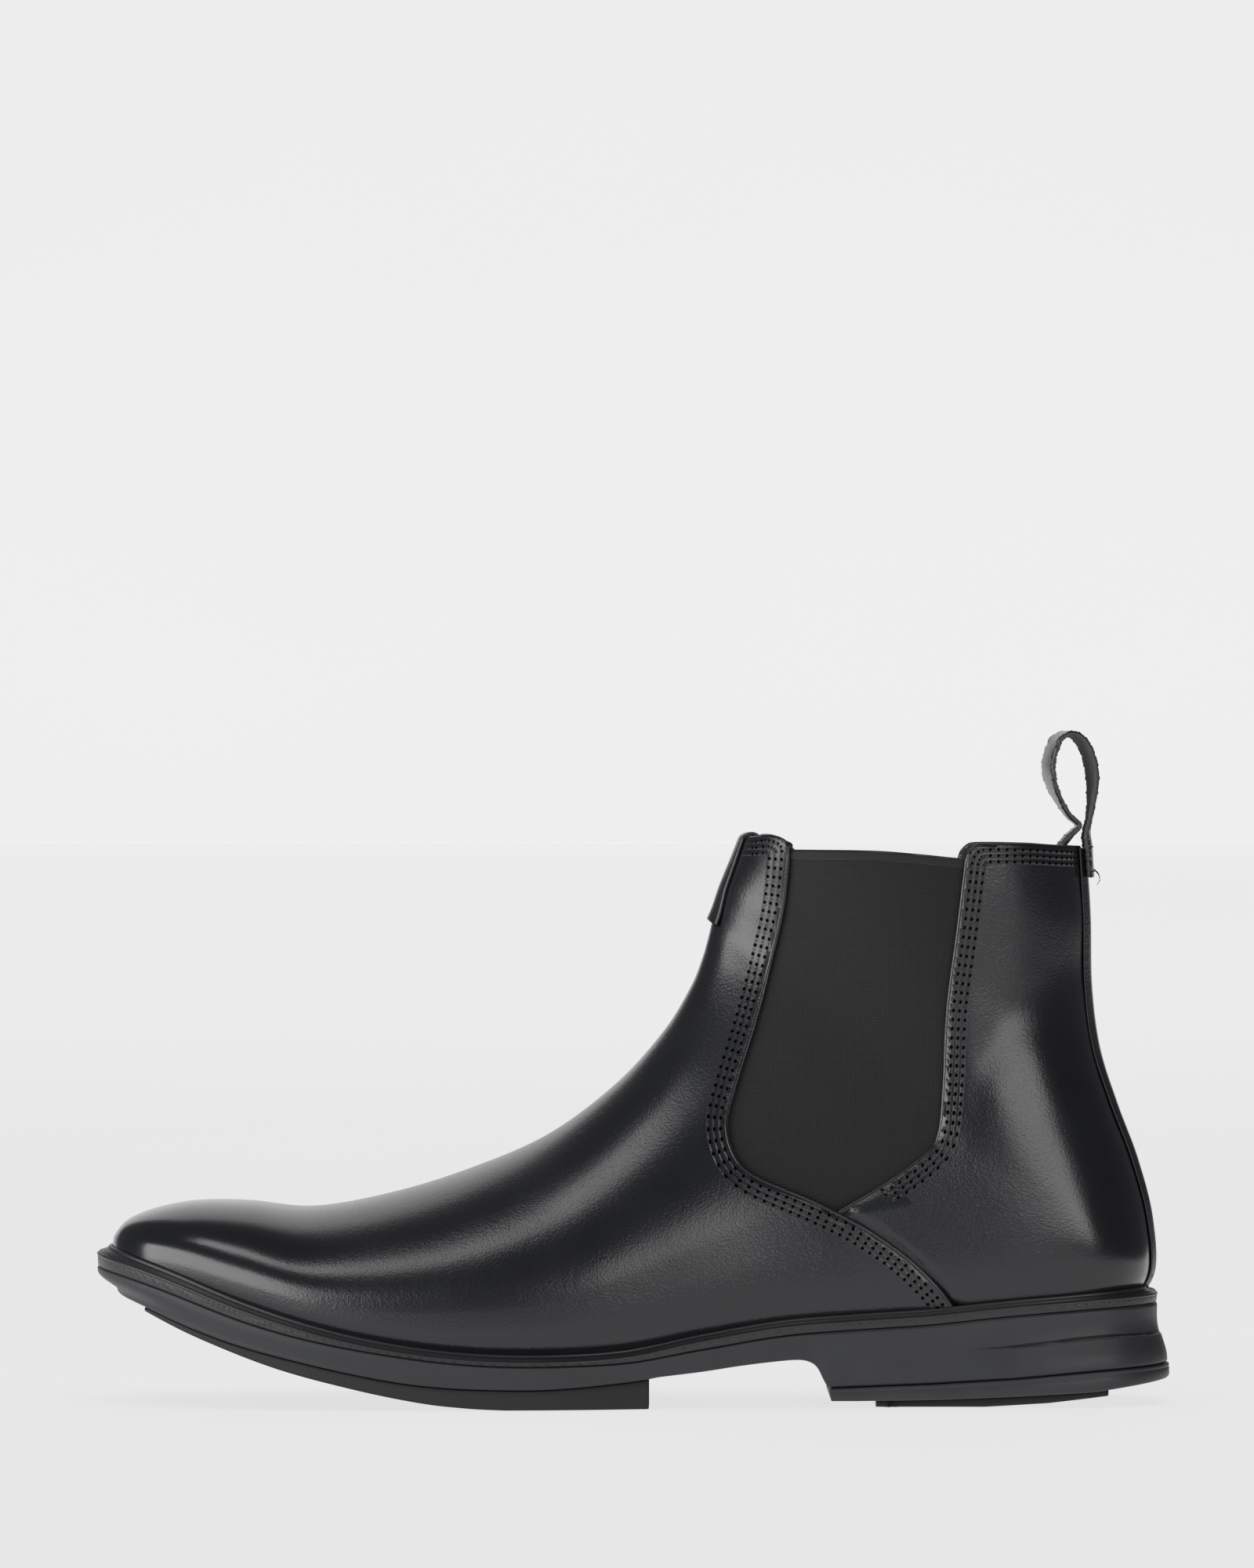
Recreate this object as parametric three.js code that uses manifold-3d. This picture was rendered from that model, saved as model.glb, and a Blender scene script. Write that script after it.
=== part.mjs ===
// A left chelsea boot: a leather vamp and two quarters over a lining, an elastic gusset on each side,
// a back strip that runs up into a pull loop, and a cemented moulded sole with a welt and a heel.
// Millimetres, +Z up. The toe points to -X, the heel to +X and the outer side of the foot to -Y.
// Run it with the npm packages three and manifold-3d: the default export is the assembled boot.
import * as THREE from "three";
import { mergeVertices } from "three/addons/utils/BufferGeometryUtils.js";
import Module from "manifold-3d";

const wasm = await Module();
wasm.setup();

// ---- Driving dimensions -------------------------------------------------------------------------
const BOOT_LENGTH = 305; // over the sole, toe tip to heel lip
const BOOT_WIDTH = 101; // over the welt, at the ball
const SHAFT_HEIGHT = 157; // ground to the collar at the back seam
const GAP = 0.3; // clearance between two pieces that touch
const LEATHER = 1.5; // vamp and quarters
const MIDDLE = 1.1; // stiffeners and gusset elastic, between leather and lining
const LINING = 1.0;
const STRAP = 1.4; // back strip, pull loop and front tab
const STRAP_WIDTH = 18;
const SEAM_LAP = 7; // how far a piece runs on under the one that is sewn over it
const LASTING_MARGIN = 14; // leather turned in under the insole board
const BOARD = 2.0; // insole board
const FOOTBED = 4.0;
const WELT_MARGIN = 4.7; // welt showing outside the upper, round the forefoot
const WELT_MARGIN_REAR = 3.0; // and round the waist and heel
const TREAD_INSET = 1.2; // forefoot tread inside the sidewall's bottom edge
const HEEL_TREAD_INSET = 6; // heel tread inside the heel's bottom edge
const GROOVE_WIDTH = 2.6; // grooves across the treads
const GROOVE_PITCH = 9.5;
const GROOVE_DEPTH = 1.3;
const SHANK = { length: 100, width: 13, thickness: 1.1, centre: 34 }; // steel spring in the waist
const BINDING = 2.4; // tape along the top of each gusset
const TAB_WIDTH = 17; // front tab
const NECK_RADIUS = 2 * STRAP; // the pull loop bends above its sewn feet, about a point between its legs

// The outlines below are drawn for a boot of these sizes and stretched to the ones above.
const DRAWN = { length: 305, width: 95.5, height: 157 };
const stretch = {
  x: BOOT_LENGTH / DRAWN.length,
  y: BOOT_WIDTH / DRAWN.width,
  z: SHAFT_HEIGHT / DRAWN.height,
};

// Depths of the upper's layers under its outer surface.
const LEATHER_IN = -LEATHER;
const MIDDLE_OUT = LEATHER_IN - GAP;
const MIDDLE_IN = MIDDLE_OUT - MIDDLE;
const LINING_OUT = MIDDLE_IN - GAP;
const LINING_IN = LINING_OUT - LINING;

// ---- The upper's outer surface ------------------------------------------------------------------
// Sections fan from the toe round the instep to the collar. Each lies in a plane through the Y axis'
// direction, from a point on the front profile to one on the bottom or back profile.
// front x, z | back x, z | outer y | inner y | ridge y | bottom y | widest | front power | back power
const SECTIONS = [
  [-147.6, 44.6, -147.6, 41.4, 7, 7, 7, 7, 0.6, 2.2, 2.2],
  [-146.4, 47.8, -146.7, 38.6, -4.5, 17.5, 7, 7, 0.62, 2.3, 2.6],
  [-142.8, 51.3, -143.4, 36.4, -14.5, 25.5, 7, 6.5, 0.64, 2.4, 3],
  [-135.2, 54.3, -135.8, 33.8, -23.5, 31.5, 7, 6, 0.66, 2.4, 3.4],
  [-123.8, 56.4, -123.4, 29.4, -31.5, 36.5, 7, 5, 0.68, 2.3, 3.8],
  [-109, 56.4, -107.5, 23.9, -38, 40, 7, 3.5, 0.7, 2.2, 4],
  [-90.6, 54.8, -87, 17.6, -43.5, 42.6, 7, 2, 0.7, 2.1, 4],
  [-68.4, 58.7, -63, 12.7, -47.3, 43.8, 6.5, 0, 0.7, 2.05, 4],
  [-46.2, 65.6, -38, 10.5, -48.8, 43, 6, -2, 0.7, 2, 4],
  [-24.1, 75.3, -11, 10.6, -47, 39.5, 5, -3, 0.68, 2, 4],
  [-5, 89.6, 18, 15.8, -42.5, 35, 4, -3, 0.66, 2, 4.4],
  [8.4, 104.4, 50, 20.4, -38, 32.5, 3, -2, 0.64, 2, 5],
  [15.9, 116.6, 83, 22.4, -35.5, 32.5, 2, -1, 0.62, 2, 6],
  [19.2, 124.6, 112, 24.6, -34.5, 33, 1.5, 0, 0.62, 2, 6],
  [21, 130.8, 134.5, 27, -33.5, 32.6, 1, 0, 0.62, 2, 4.2],
  [22.3, 136.2, 145, 35, -32.5, 32, 1, 0, 0.62, 2, 3],
  [23.6, 140.8, 145.2, 51, -31.8, 31.4, 0.5, 0, 0.58, 2, 2.5],
  [25, 145, 141.1, 67.8, -31.6, 31.2, 0, 0, 0.54, 2, 2.3],
  [26.5, 148.8, 135.3, 83.5, -32, 31.6, 0, 0, 0.52, 2, 2.2],
  [28, 152.4, 130.3, 99.5, -32.8, 32.4, 0, 0, 0.5, 2, 2.1],
  [29.2, 155.4, 128, 117, -33.8, 33.4, 0, 0, 0.48, 2, 2.1],
  [30.4, 158.4, 127.6, 137, -34.8, 34.4, 0, 0, 0.46, 2, 2.1],
  [31.6, 161.4, 126.4, 157.2, -35.4, 35, 0, 0, 0.45, 2, 2.1],
  [33.4, 167, 126.2, 167, -35.6, 35.2, 0, 0, 0.45, 2, 2.1],
];
const LAST_SECTION = SECTIONS.length - 1;
const COLUMN_STRETCH = ["x", "z", "x", "z", "y", "y", "y", "y"].map((axis) => stretch[axis]);
const ROUND_AT_TOE = [true, false, true]; // front x and back x turn back at the toe, so that it is round

/** A Catmull-Rom value of one column at section number s. */
function column(index, s) {
  const scale = COLUMN_STRETCH[index] ?? 1;
  const values = SECTIONS.map((row) => row[index] * scale);
  const i = Math.min(Math.floor(s), LAST_SECTION - 1);
  const [b, c] = [values[i], values[i + 1]];
  const a = i > 0 ? values[i - 1] : ROUND_AT_TOE[index] ? c : 2 * b - c;
  const d = i + 2 <= LAST_SECTION ? values[i + 2] : 2 * c - b;
  const f = s - i;
  return b + 0.5 * f * (c - a + f * (2 * a - 5 * b + 4 * c - d + f * (3 * (b - c) + d - a)));
}

/** A profile point moved square to the profile: which is 0 for the front and 2 for the back profile. */
function profilePoint(which, s, offset) {
  const step = 0.02;
  const [s0, s1] = [Math.max(s - step, 0), Math.min(s + step, LAST_SECTION)];
  const [dx, dz] = [column(which, s1) - column(which, s0), column(which + 1, s1) - column(which + 1, s0)];
  const length = Math.hypot(dx, dz) || 1;
  const turn = which === 0 ? 1 : -1; // the front profile has the boot on its right, the back on its left
  return [column(which, s) - (turn * offset * dz) / length, column(which + 1, s) + (turn * offset * dx) / length];
}

/** One section at section number s, grown by offset: its two profile points, widths and powers. */
function section(s, offset) {
  const [outer, inner, ridge, bottom] = [4, 5, 6, 7].map((index) => column(index, s));
  const half = (inner - outer) / 2 + offset;
  const middle = (inner + outer) / 2;
  const clampY = (y) => middle + THREE.MathUtils.clamp(y - middle, -0.9 * half, 0.9 * half);
  const [widest, frontPower, backPower] = [8, 9, 10].map((index) => column(index, s));
  return {
    front: profilePoint(0, s, offset),
    back: profilePoint(2, s, offset),
    outer: middle - half,
    inner: middle + half,
    half,
    ridge: clampY(ridge),
    bottom: clampY(bottom),
    widest,
    frontPower,
    backPower,
  };
}

/** A point of a section: angle 0 is its front point, PI its back point; side -1 is the outer side. */
function sectionPoint(cut, angle, side) {
  const edge = side < 0 ? cut.outer : cut.inner;
  const inFront = angle < Math.PI / 2;
  const power = inFront ? cut.frontPower : cut.backPower;
  const from = inFront ? cut.ridge : cut.bottom;
  const sine = Math.max(Math.sin(angle), 0) ** (2 / power);
  const cosine = Math.abs(Math.cos(angle)) ** (2 / power);
  const along = inFront ? cut.widest * (1 - cosine) : cut.widest + (1 - cut.widest) * cosine;
  const [x, z] = [0, 1].map((k) => cut.front[k] + along * (cut.back[k] - cut.front[k]));
  return new THREE.Vector3(x, from + (edge - from) * sine, z);
}

const SECTION_STEPS = 25;
const SIDE_STEPS = 8; // points on each side of a section
const THINNEST = 0.4; // half width of the first section that is kept at the toe

/** The section number at which the surface grown by offset first has some width. */
function firstSection(offset) {
  let s = 0;
  while (section(s, offset).half < THINNEST) s += 0.01;
  return s;
}

// ---- Solids ---------------------------------------------------------------------------------------
/** A closed geometry as a manifold-3d solid. */
function solidOf(geometry) {
  const plain = geometry.index ? geometry.toNonIndexed() : geometry.clone();
  plain.deleteAttribute("normal");
  plain.deleteAttribute("uv");
  const merged = mergeVertices(plain, 1e-4);
  return new wasm.Manifold(
    new wasm.Mesh({
      numProp: 3,
      vertProperties: merged.attributes.position.array,
      triVerts: new Uint32Array(merged.index.array),
    }),
  );
}

/** A solid through closed rings of points with the same count, capped by fans at both ends. */
function loft(rings, closed = false) {
  const count = rings[0].length;
  const points = rings.flat();
  const faces = [];
  const steps = closed ? rings.length : rings.length - 1;
  for (let i = 0; i < steps; i++)
    for (let j = 0; j < count; j++) {
      const k = (j + 1) % count;
      const [a, b] = [i * count, ((i + 1) % rings.length) * count];
      faces.push(a + j, b + j, b + k, a + j, b + k, a + k);
    }
  if (!closed)
    for (const [ring, flip] of [[0, false], [rings.length - 1, true]]) {
      const centre = rings[ring].reduce((sum, p) => sum.add(p), new THREE.Vector3()).divideScalar(count);
      const middle = points.push(centre) - 1;
      for (let j = 0; j < count; j++) {
        const [a, b] = [ring * count + j, ring * count + ((j + 1) % count)];
        faces.push(...(flip ? [middle, b, a] : [middle, a, b]));
      }
    }
  const geometry = new THREE.BufferGeometry().setFromPoints(points).setIndex(faces);
  const made = solidOf(geometry);
  if (made.volume() > 0) return made;
  for (let i = 0; i < faces.length; i += 3) [faces[i + 1], faces[i + 2]] = [faces[i + 2], faces[i + 1]];
  return solidOf(geometry.setIndex(faces));
}

/** The upper's form, grown by offset, as a closed solid from the toe to above the collar. */
function form(offset) {
  const start = firstSection(offset);
  const rings = [];
  for (let i = 0; i <= SECTION_STEPS; i++) {
    const cut = section(start + ((LAST_SECTION - start) * i) / SECTION_STEPS, offset);
    const ring = [];
    for (let j = 0; j < SIDE_STEPS; j++) ring.push(sectionPoint(cut, (Math.PI * j) / SIDE_STEPS, -1));
    for (let j = SIDE_STEPS; j > 0; j--) ring.push(sectionPoint(cut, (Math.PI * j) / SIDE_STEPS, 1));
    rings.push(ring);
  }
  return loft(rings);
}

const shell = (outside, inside) => form(outside).subtract(form(inside));
const FAR = 400;

/** A side-view outline of [x, z] points, carried across the boot from y = from to y = to. */
function sidePrism(points, from = -FAR, to = FAR) {
  const shape = new THREE.Shape(points.map(([x, z]) => new THREE.Vector2(x, z)));
  const geometry = new THREE.ExtrudeGeometry(shape, { depth: to - from, bevelEnabled: false });
  return solidOf(geometry.rotateX(Math.PI / 2).translate(0, to, 0));
}

/** A top-view outline of [x, y] points, carried up from z = from to z = to. */
function planPrism(points, from = -FAR, to = FAR) {
  const shape = new THREE.Shape(points.map(([x, y]) => new THREE.Vector2(x, y)));
  const geometry = new THREE.ExtrudeGeometry(shape, { depth: to - from, bevelEnabled: false });
  return solidOf(geometry.translate(0, 0, from));
}

/** Side-view points of the drawing, stretched to the boot's size. */
const drawn = (points) => points.map(([x, z]) => [x * stretch.x, z * stretch.z]);

/** A smooth line through side-view or top-view points, as [x, z] pairs. */
function smooth(points, steps) {
  const line = new THREE.SplineCurve(points.map(([x, z]) => new THREE.Vector2(x, z)));
  return line.getPoints(steps).map((p) => [p.x, p.y]);
}

/** Points moved square to their line, to its left. */
function beside(points, distance) {
  return points.map(([x, z], i) => {
    const [x0, z0] = points[Math.max(i - 1, 0)];
    const [x1, z1] = points[Math.min(i + 1, points.length - 1)];
    const length = Math.hypot(x1 - x0, z1 - z0);
    return [x - (distance * (z1 - z0)) / length, z + (distance * (x1 - x0)) / length];
  });
}

/** The height of a left-to-right line of [x, z] points at x. */
function heightAt(points, x) {
  const i = THREE.MathUtils.clamp(points.findIndex(([px]) => px > x), 1, points.length - 1);
  const [[x0, z0], [x1, z1]] = [points[i - 1], points[i]];
  return z0 + ((z1 - z0) * THREE.MathUtils.clamp(x - x0, 0, x1 - x0)) / (x1 - x0);
}

// ---- Seams of the upper, in side view -------------------------------------------------------------
// The vamp's rear edge, from its top corner down round the gusset and on to the sole.
const VAMP_EDGE = smooth(
  drawn([
    [43.6, 155.2], [42, 140], [38.4, 124], [34, 107.5], [28.8, 91], [26.1, 79.5], [28.3, 70.5],
    [34, 65], [48.5, 58.6], [62.5, 52], [74.2, 44.3], [82.2, 37.2], [89, 29], [96, 16],
  ]),
  26,
);
// The quarter's front edge, from its top corner down round the gusset to where it meets the vamp.
const QUARTER_EDGE = smooth(
  drawn([[92.6, 153], [90.2, 133], [87.3, 111], [86.2, 89], [84.7, 76.4], [80.6, 70.4], [69.5, 62.3], [56.5, 54.6]]),
  16,
);
const LAP_START = 18; // where on the vamp's edge the quarter's edge comes in under it
const VAMP_TOP = drawn([[0, 159.9], [31.4, 159.9], [36, 160.4], [39, 160.2], [41.8, 159.1], [43.4, 157.3]]);
const QUARTER_TOP = drawn([[93.4, 155.2], [95.4, 157.2], [98.6, 157.9], [112, 157.7], [126, 157], [170, 156.6]]);
const GUSSET_TOP = drawn([[34, 156.3], [46, 156.1], [66, 155.7], [79, 154.8], [103, 152.3]]);

const vampOutline = (back) => [
  ...VAMP_TOP,
  ...beside(VAMP_EDGE, -back),
  [VAMP_EDGE.at(-1)[0], -FAR],
  [-FAR, -FAR],
  [-FAR, VAMP_TOP[0][1]],
];
const quarterOutline = (ahead) => [
  ...beside(QUARTER_EDGE, ahead).slice(0, -1).reverse(),
  ...QUARTER_TOP,
  [FAR, QUARTER_TOP.at(-1)[1]],
  [FAR, -FAR],
  [VAMP_EDGE.at(-1)[0], -FAR],
  ...beside(VAMP_EDGE, ahead).slice(LAP_START).reverse(),
];
// The elastic's outline, grown under the leather on both sides by lap, and cut along its top.
const gussetOutline = (lap) => [
  ...beside(GUSSET_TOP, 0),
  ...beside(QUARTER_EDGE, lap).slice(1, -1),
  [QUARTER_EDGE.at(-1)[0] + lap / 4, QUARTER_EDGE.at(-1)[1] - 1.2 * lap],
  ...beside(VAMP_EDGE, -lap).slice(1, LAP_START - 1).reverse(),
];

// ---- The lasted bottom ----------------------------------------------------------------------------
// The bottom profile's points. Everything between the upper's two layers of leather and the foot lies
// on it: the turned-in leather, the filler between its edges, the insole board and the footbed.
const BOTTOM_SECTIONS = 14;
const BOTTOM = Array.from({ length: 2 * BOTTOM_SECTIONS + 1 }, (_, i) => profilePoint(2, i / 2, 0));
const under = (line, lift = 0) => [
  [-FAR, -FAR],
  [-FAR, line[0][1] + lift],
  ...line.map(([x, z]) => [x, z + lift]),
  [FAR, line.at(-1)[1] + lift],
  [FAR, -FAR],
];

// ---- The footprint, and what is swept round it ----------------------------------------------------
// The line where the welt's top meets the upper, in side view.
const WELT_LINE = smooth(
  drawn([
    [-160, 45], [-147.6, 43.2], [-131, 37.9], [-107.8, 28.7], [-85.9, 21.9], [-64.6, 17.5], [-43.6, 15.2],
    [-22.8, 14.8], [-1.9, 16.1], [19.2, 20.3], [40.6, 23.9], [61.9, 25.6], [83.2, 27], [104.4, 29.2],
    [126.4, 31], [144.4, 32.4], [160, 33.5],
  ]),
  48,
);
const weltZ = (x) => heightAt(WELT_LINE, x);

/** Where a section's side crosses the welt line, or null where the section lies over it. */
function footprintPoint(s, side) {
  const cut = section(s, 0);
  const over = (angle) => {
    const p = sectionPoint(cut, angle, side);
    return p.z - weltZ(p.x);
  };
  let [high, low] = [0.3, Math.PI];
  if (over(low) > 0) return null;
  for (let i = 0; i < 30; i++) {
    const middle = (high + low) / 2;
    if (over(middle) > 0) high = middle;
    else low = middle;
  }
  return sectionPoint(cut, low, side);
}

const HALF_STEPS = 26; // points on each side of the footprint

/** One side of the footprint from toe to heel, evenly spaced, as Vector2s. */
function footprintSide(side) {
  const points = [];
  for (let s = 0; s < LAST_SECTION; s += 0.05) {
    const p = footprintPoint(s, side);
    if (!p) break;
    points.push(new THREE.Vector2(p.x, p.y));
  }
  const heel = new THREE.Vector2(points.at(-1).x + 0.6, 0);
  const line = new THREE.SplineCurve([...points.filter((_, i) => i % 3 === 0), heel]);
  line.arcLengthDivisions = 600;
  return line.getSpacedPoints(HALF_STEPS);
}

/** The whole footprint: toe tip, outer side, heel, inner side. Each point has its outward normal. */
function footprint() {
  const [outer, inner] = [footprintSide(-1), footprintSide(1)];
  const loop = [...outer, ...inner.slice(1, -1).reverse()];
  return loop.map((p, i) => {
    const before = loop.at(i - 1);
    const after = loop[(i + 1) % loop.length];
    const tangent = after.clone().sub(before).normalize();
    return { x: p.x, y: p.y, out: [tangent.y, -tangent.x].map((v) => -v) };
  });
}
const FOOTPRINT = footprint();
const outwards = Math.sign(-FOOTPRINT[Math.round(HALF_STEPS / 2)].out[1]); // the outer side faces -Y
FOOTPRINT.forEach((p) => (p.out = p.out.map((v) => v * outwards)));

const ramp = (x, from, to) => THREE.MathUtils.smoothstep(x, from * stretch.x, to * stretch.x);
/** How far the welt stands out from the upper at x. */
const weltMargin = (x) =>
  THREE.MathUtils.lerp(WELT_MARGIN, WELT_MARGIN_REAR, ramp(x, -30, 45)) + 1.8 * ramp(x, 118, 146);
/** How tall the welt is at x: deep at the toe, thin at the ball. */
const weltHeight = (x) => stretch.z * (3.7 + 1.1 * (1 - ramp(x, -150, -70)) - 1.2 * (ramp(x, -110, -60) - ramp(x, -20, 30)));

/** A point beside the footprint: out from the upper, and at height z. */
const besideFoot = (p, out, z) => new THREE.Vector3(p.x + p.out[0] * out, p.y + p.out[1] * out, z);

/** The footprint moved outwards, as a top-view outline. */
const footOutline = (out) => FOOTPRINT.map((p) => [p.x + p.out[0] * out(p.x), p.y + p.out[1] * out(p.x)]);

// ---- Sole -----------------------------------------------------------------------------------------
// The sidewall's bottom line from toe to heel lip, as if there were no arch.
const SIDEWALL_LOW = drawn([
  [-160, 35.5], [-147, 31], [-136.7, 27.4], [-123.8, 22.2], [-110.4, 17.6], [-93.6, 13.3], [-77, 9.7],
  [-62, 7.2], [-45.7, 5.9], [-23.8, 5.7], [-1.9, 7.5], [6.9, 8.9], [30, 5.5], [58, 3.2], [100, 3.2], [126, 4.4],
  [143, 6.2], [160, 8.2],
]);
const SIDEWALL_LINE = smooth(SIDEWALL_LOW, 48);
// The arch, cut out from the forefoot tread's end to the heel breast.
const ARCH = [
  ...smooth(drawn([[-4, -4], [1, 7.4], [6.5, 8.7], [19, 10.3], [30, 11.9], [40.6, 13.1], [46.5, 13.4]]), 10),
  ...smooth(drawn([[49.6, 12.6], [51.4, 11], [53.6, 6], [55.4, 3.4], [58.5, -4]]), 8),
];
const sidewallFlare = (x) => -4.6 * (1 - ramp(x, -152, -118)) - 1.2 * (1 - ramp(x, 50, 80)) + 2.6 * ramp(x, 60, 145);

/** The moulded unit's outer block: rings down its sidewall, each a footprint ring. */
function soleBlock() {
  const top = (p) => besideFoot(p, weltMargin(p.x) - 0.9, weltZ(p.x) - weltHeight(p.x) - GAP);
  const rings = [
    top,
    (p) => besideFoot(p, weltMargin(p.x) - 0.3, top(p).z - 0.9),
    (p) => besideFoot(p, weltMargin(p.x) - 0.5 + 0.1 * sidewallFlare(p.x), top(p).z * 0.55 + heightAt(SIDEWALL_LINE, p.x) * 0.45),
    (p) => besideFoot(p, weltMargin(p.x) - 0.4 + 0.55 * sidewallFlare(p.x), top(p).z * 0.2 + heightAt(SIDEWALL_LINE, p.x) * 0.8),
    (p) => besideFoot(p, weltMargin(p.x) - 0.4 + sidewallFlare(p.x), heightAt(SIDEWALL_LINE, p.x) - 1.5),
  ];
  return plate(rings).subtract(sidePrism(under(SIDEWALL_LINE)));
}

/** A solid with rings of footprint points as its wall, and a bridged top and bottom. */
function plate(rings) {
  const points = rings.map((ring) => FOOTPRINT.map(ring)).flat();
  const count = FOOTPRINT.length;
  const faces = [];
  for (let i = 0; i + 1 < rings.length; i++)
    for (let j = 0; j < count; j++) {
      const k = (j + 1) % count;
      const [a, b] = [i * count, (i + 1) * count];
      faces.push(a + j, b + j, b + k, a + j, b + k, a + k);
    }
  // The two sides of a ring are bridged straight across the boot.
  for (const [base, flip] of [[0, false], [(rings.length - 1) * count, true]])
    for (let j = 0; j < HALF_STEPS; j++) {
      const [a, b] = [base + j, base + j + 1];
      const [c, d] = [base + ((count - j - 1) % count), base + ((count - j) % count)];
      const corners = j === 0 ? [[a, b, c]] : j === HALF_STEPS - 1 ? [[a, b, d]] : [[a, b, c], [a, c, d]];
      for (const [p, q, r] of corners) faces.push(...(flip ? [p, r, q] : [p, q, r]));
    }
  const geometry = new THREE.BufferGeometry().setFromPoints(points).setIndex(faces);
  const made = solidOf(geometry);
  if (made.volume() > 0) return made;
  for (let i = 0; i < faces.length; i += 3) [faces[i + 1], faces[i + 2]] = [faces[i + 2], faces[i + 1]];
  return solidOf(geometry.setIndex(faces));
}

const between = (from, to, line) => line.filter(([x]) => x > from && x < to);

/** The welt: a bead against the upper, then a ledge that slopes down to its outer edge. */
function weltBlock() {
  const at = (out, drop) => (p) => besideFoot(p, out(weltMargin(p.x)), weltZ(p.x) - drop(weltHeight(p.x)));
  return plate([
    at(() => 0.1, () => -0.5),
    at(() => 1.1, () => -0.6),
    at(() => 1.7, () => 0.1),
    at((margin) => margin - 0.9, () => 0.8),
    at((margin) => margin, (height) => 0.45 * height),
    at((margin) => margin - 0.3, (height) => height),
  ]);
}

// The heel's bottom layer: its top and bottom lines, run on level towards the toe.
const LIP_TOP = drawn([[-170, 5.6], [56, 5.6], [85, 6.8], [107, 8.2], [129, 10.1], [160, 12.2]]);
const LIP_LOW = drawn([[-170, 1.9], [62, 1.9], [85, 2.3], [107, 3.2], [129, 4.3], [146, 6.6], [160, 8.6]]);
const LIP_OUT = 0.7; // it stands out from the heel's side
function lipBlock() {
  const rest = (p) => weltMargin(p.x) - 0.4 + sidewallFlare(p.x);
  return plate([
    (p) => besideFoot(p, rest(p) + LIP_OUT - 0.5, heightAt(LIP_TOP, p.x) - GAP / 2),
    (p) => besideFoot(p, rest(p) + LIP_OUT, heightAt(LIP_TOP, p.x) - 1.1),
    (p) => besideFoot(p, rest(p) + LIP_OUT + 0.2, heightAt(LIP_LOW, p.x) + 1),
    (p) => besideFoot(p, rest(p) + LIP_OUT - 1, heightAt(LIP_LOW, p.x) - 1.5),
  ]).subtract(sidePrism(under(LIP_LOW)));
}

// The forefoot tread's bottom line, from where it thins out at the toe to its square rear end.
const TREAD_END = 3.1 * stretch.x;
const TREAD_LINE = smooth(
  drawn([[-138.5, 26.9], [-122.2, 19.6], [-100.4, 11.5], [-78.5, 5.8], [-60, 2.1], [-47, 0.6], [-36, 0]]),
  16,
).map(([x, z]) => [x, Math.max(z, 0)]);
TREAD_LINE.at(-1)[1] = 0;
const FOREFOOT_TREAD = [
  ...TREAD_LINE,
  [TREAD_END, 0],
  ...between(TREAD_LINE[0][0] + 4, TREAD_END, SIDEWALL_LINE).map(([x, z]) => [x, z - GAP]).reverse(),
];
FOREFOOT_TREAD.splice(TREAD_LINE.length + 1, 0, [TREAD_END, heightAt(SIDEWALL_LINE, TREAD_END) - GAP]);

// The heel tread's bottom line: level, then rising to the rear.
const HEEL_TREAD_LINE = drawn([[67.7, 0], [98, 0], [116, 1], [133, 2.8]]);
const HEEL_TREAD = [
  ...HEEL_TREAD_LINE,
  ...[HEEL_TREAD_LINE[0][0], ...between(HEEL_TREAD_LINE[0][0], HEEL_TREAD_LINE.at(-1)[0], LIP_LOW).map(([x]) => x),
    HEEL_TREAD_LINE.at(-1)[0]].map((x) => [x, heightAt(LIP_LOW, x) - GAP]).reverse(),
];

/** Grooves across a tread: wedges cut up into its bottom line between two x values. */
function grooves(line, from, to) {
  const cuts = [];
  for (let x = from; x < to; x += GROOVE_PITCH) {
    const [z0, z1] = [x - 1, x + 1].map((at) => heightAt(line, at));
    const turn = Math.atan2(z1 - z0, 2);
    const box = new THREE.BoxGeometry(GROOVE_WIDTH, 2 * FAR, 2 * GROOVE_DEPTH);
    cuts.push(solidOf(box.rotateY(-turn).translate(x, 0, heightAt(line, x))));
  }
  return cuts.reduce((all, cut) => all.add(cut));
}

// ---- Pull loop and its sewn feet ------------------------------------------------------------------
const NECK = drawn([[127.1, 161.2]])[0]; // side-view point the loop bends about
const STRAP_OUT = GAP + STRAP; // outer face of a strap sewn on the outside
const OUTER_LEG = STRAP_OUT + GAP; // the loop's outer foot is sewn on over the back strip
const INNER_LEG = LINING_IN - GAP; // and the inner one on the lining
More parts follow.
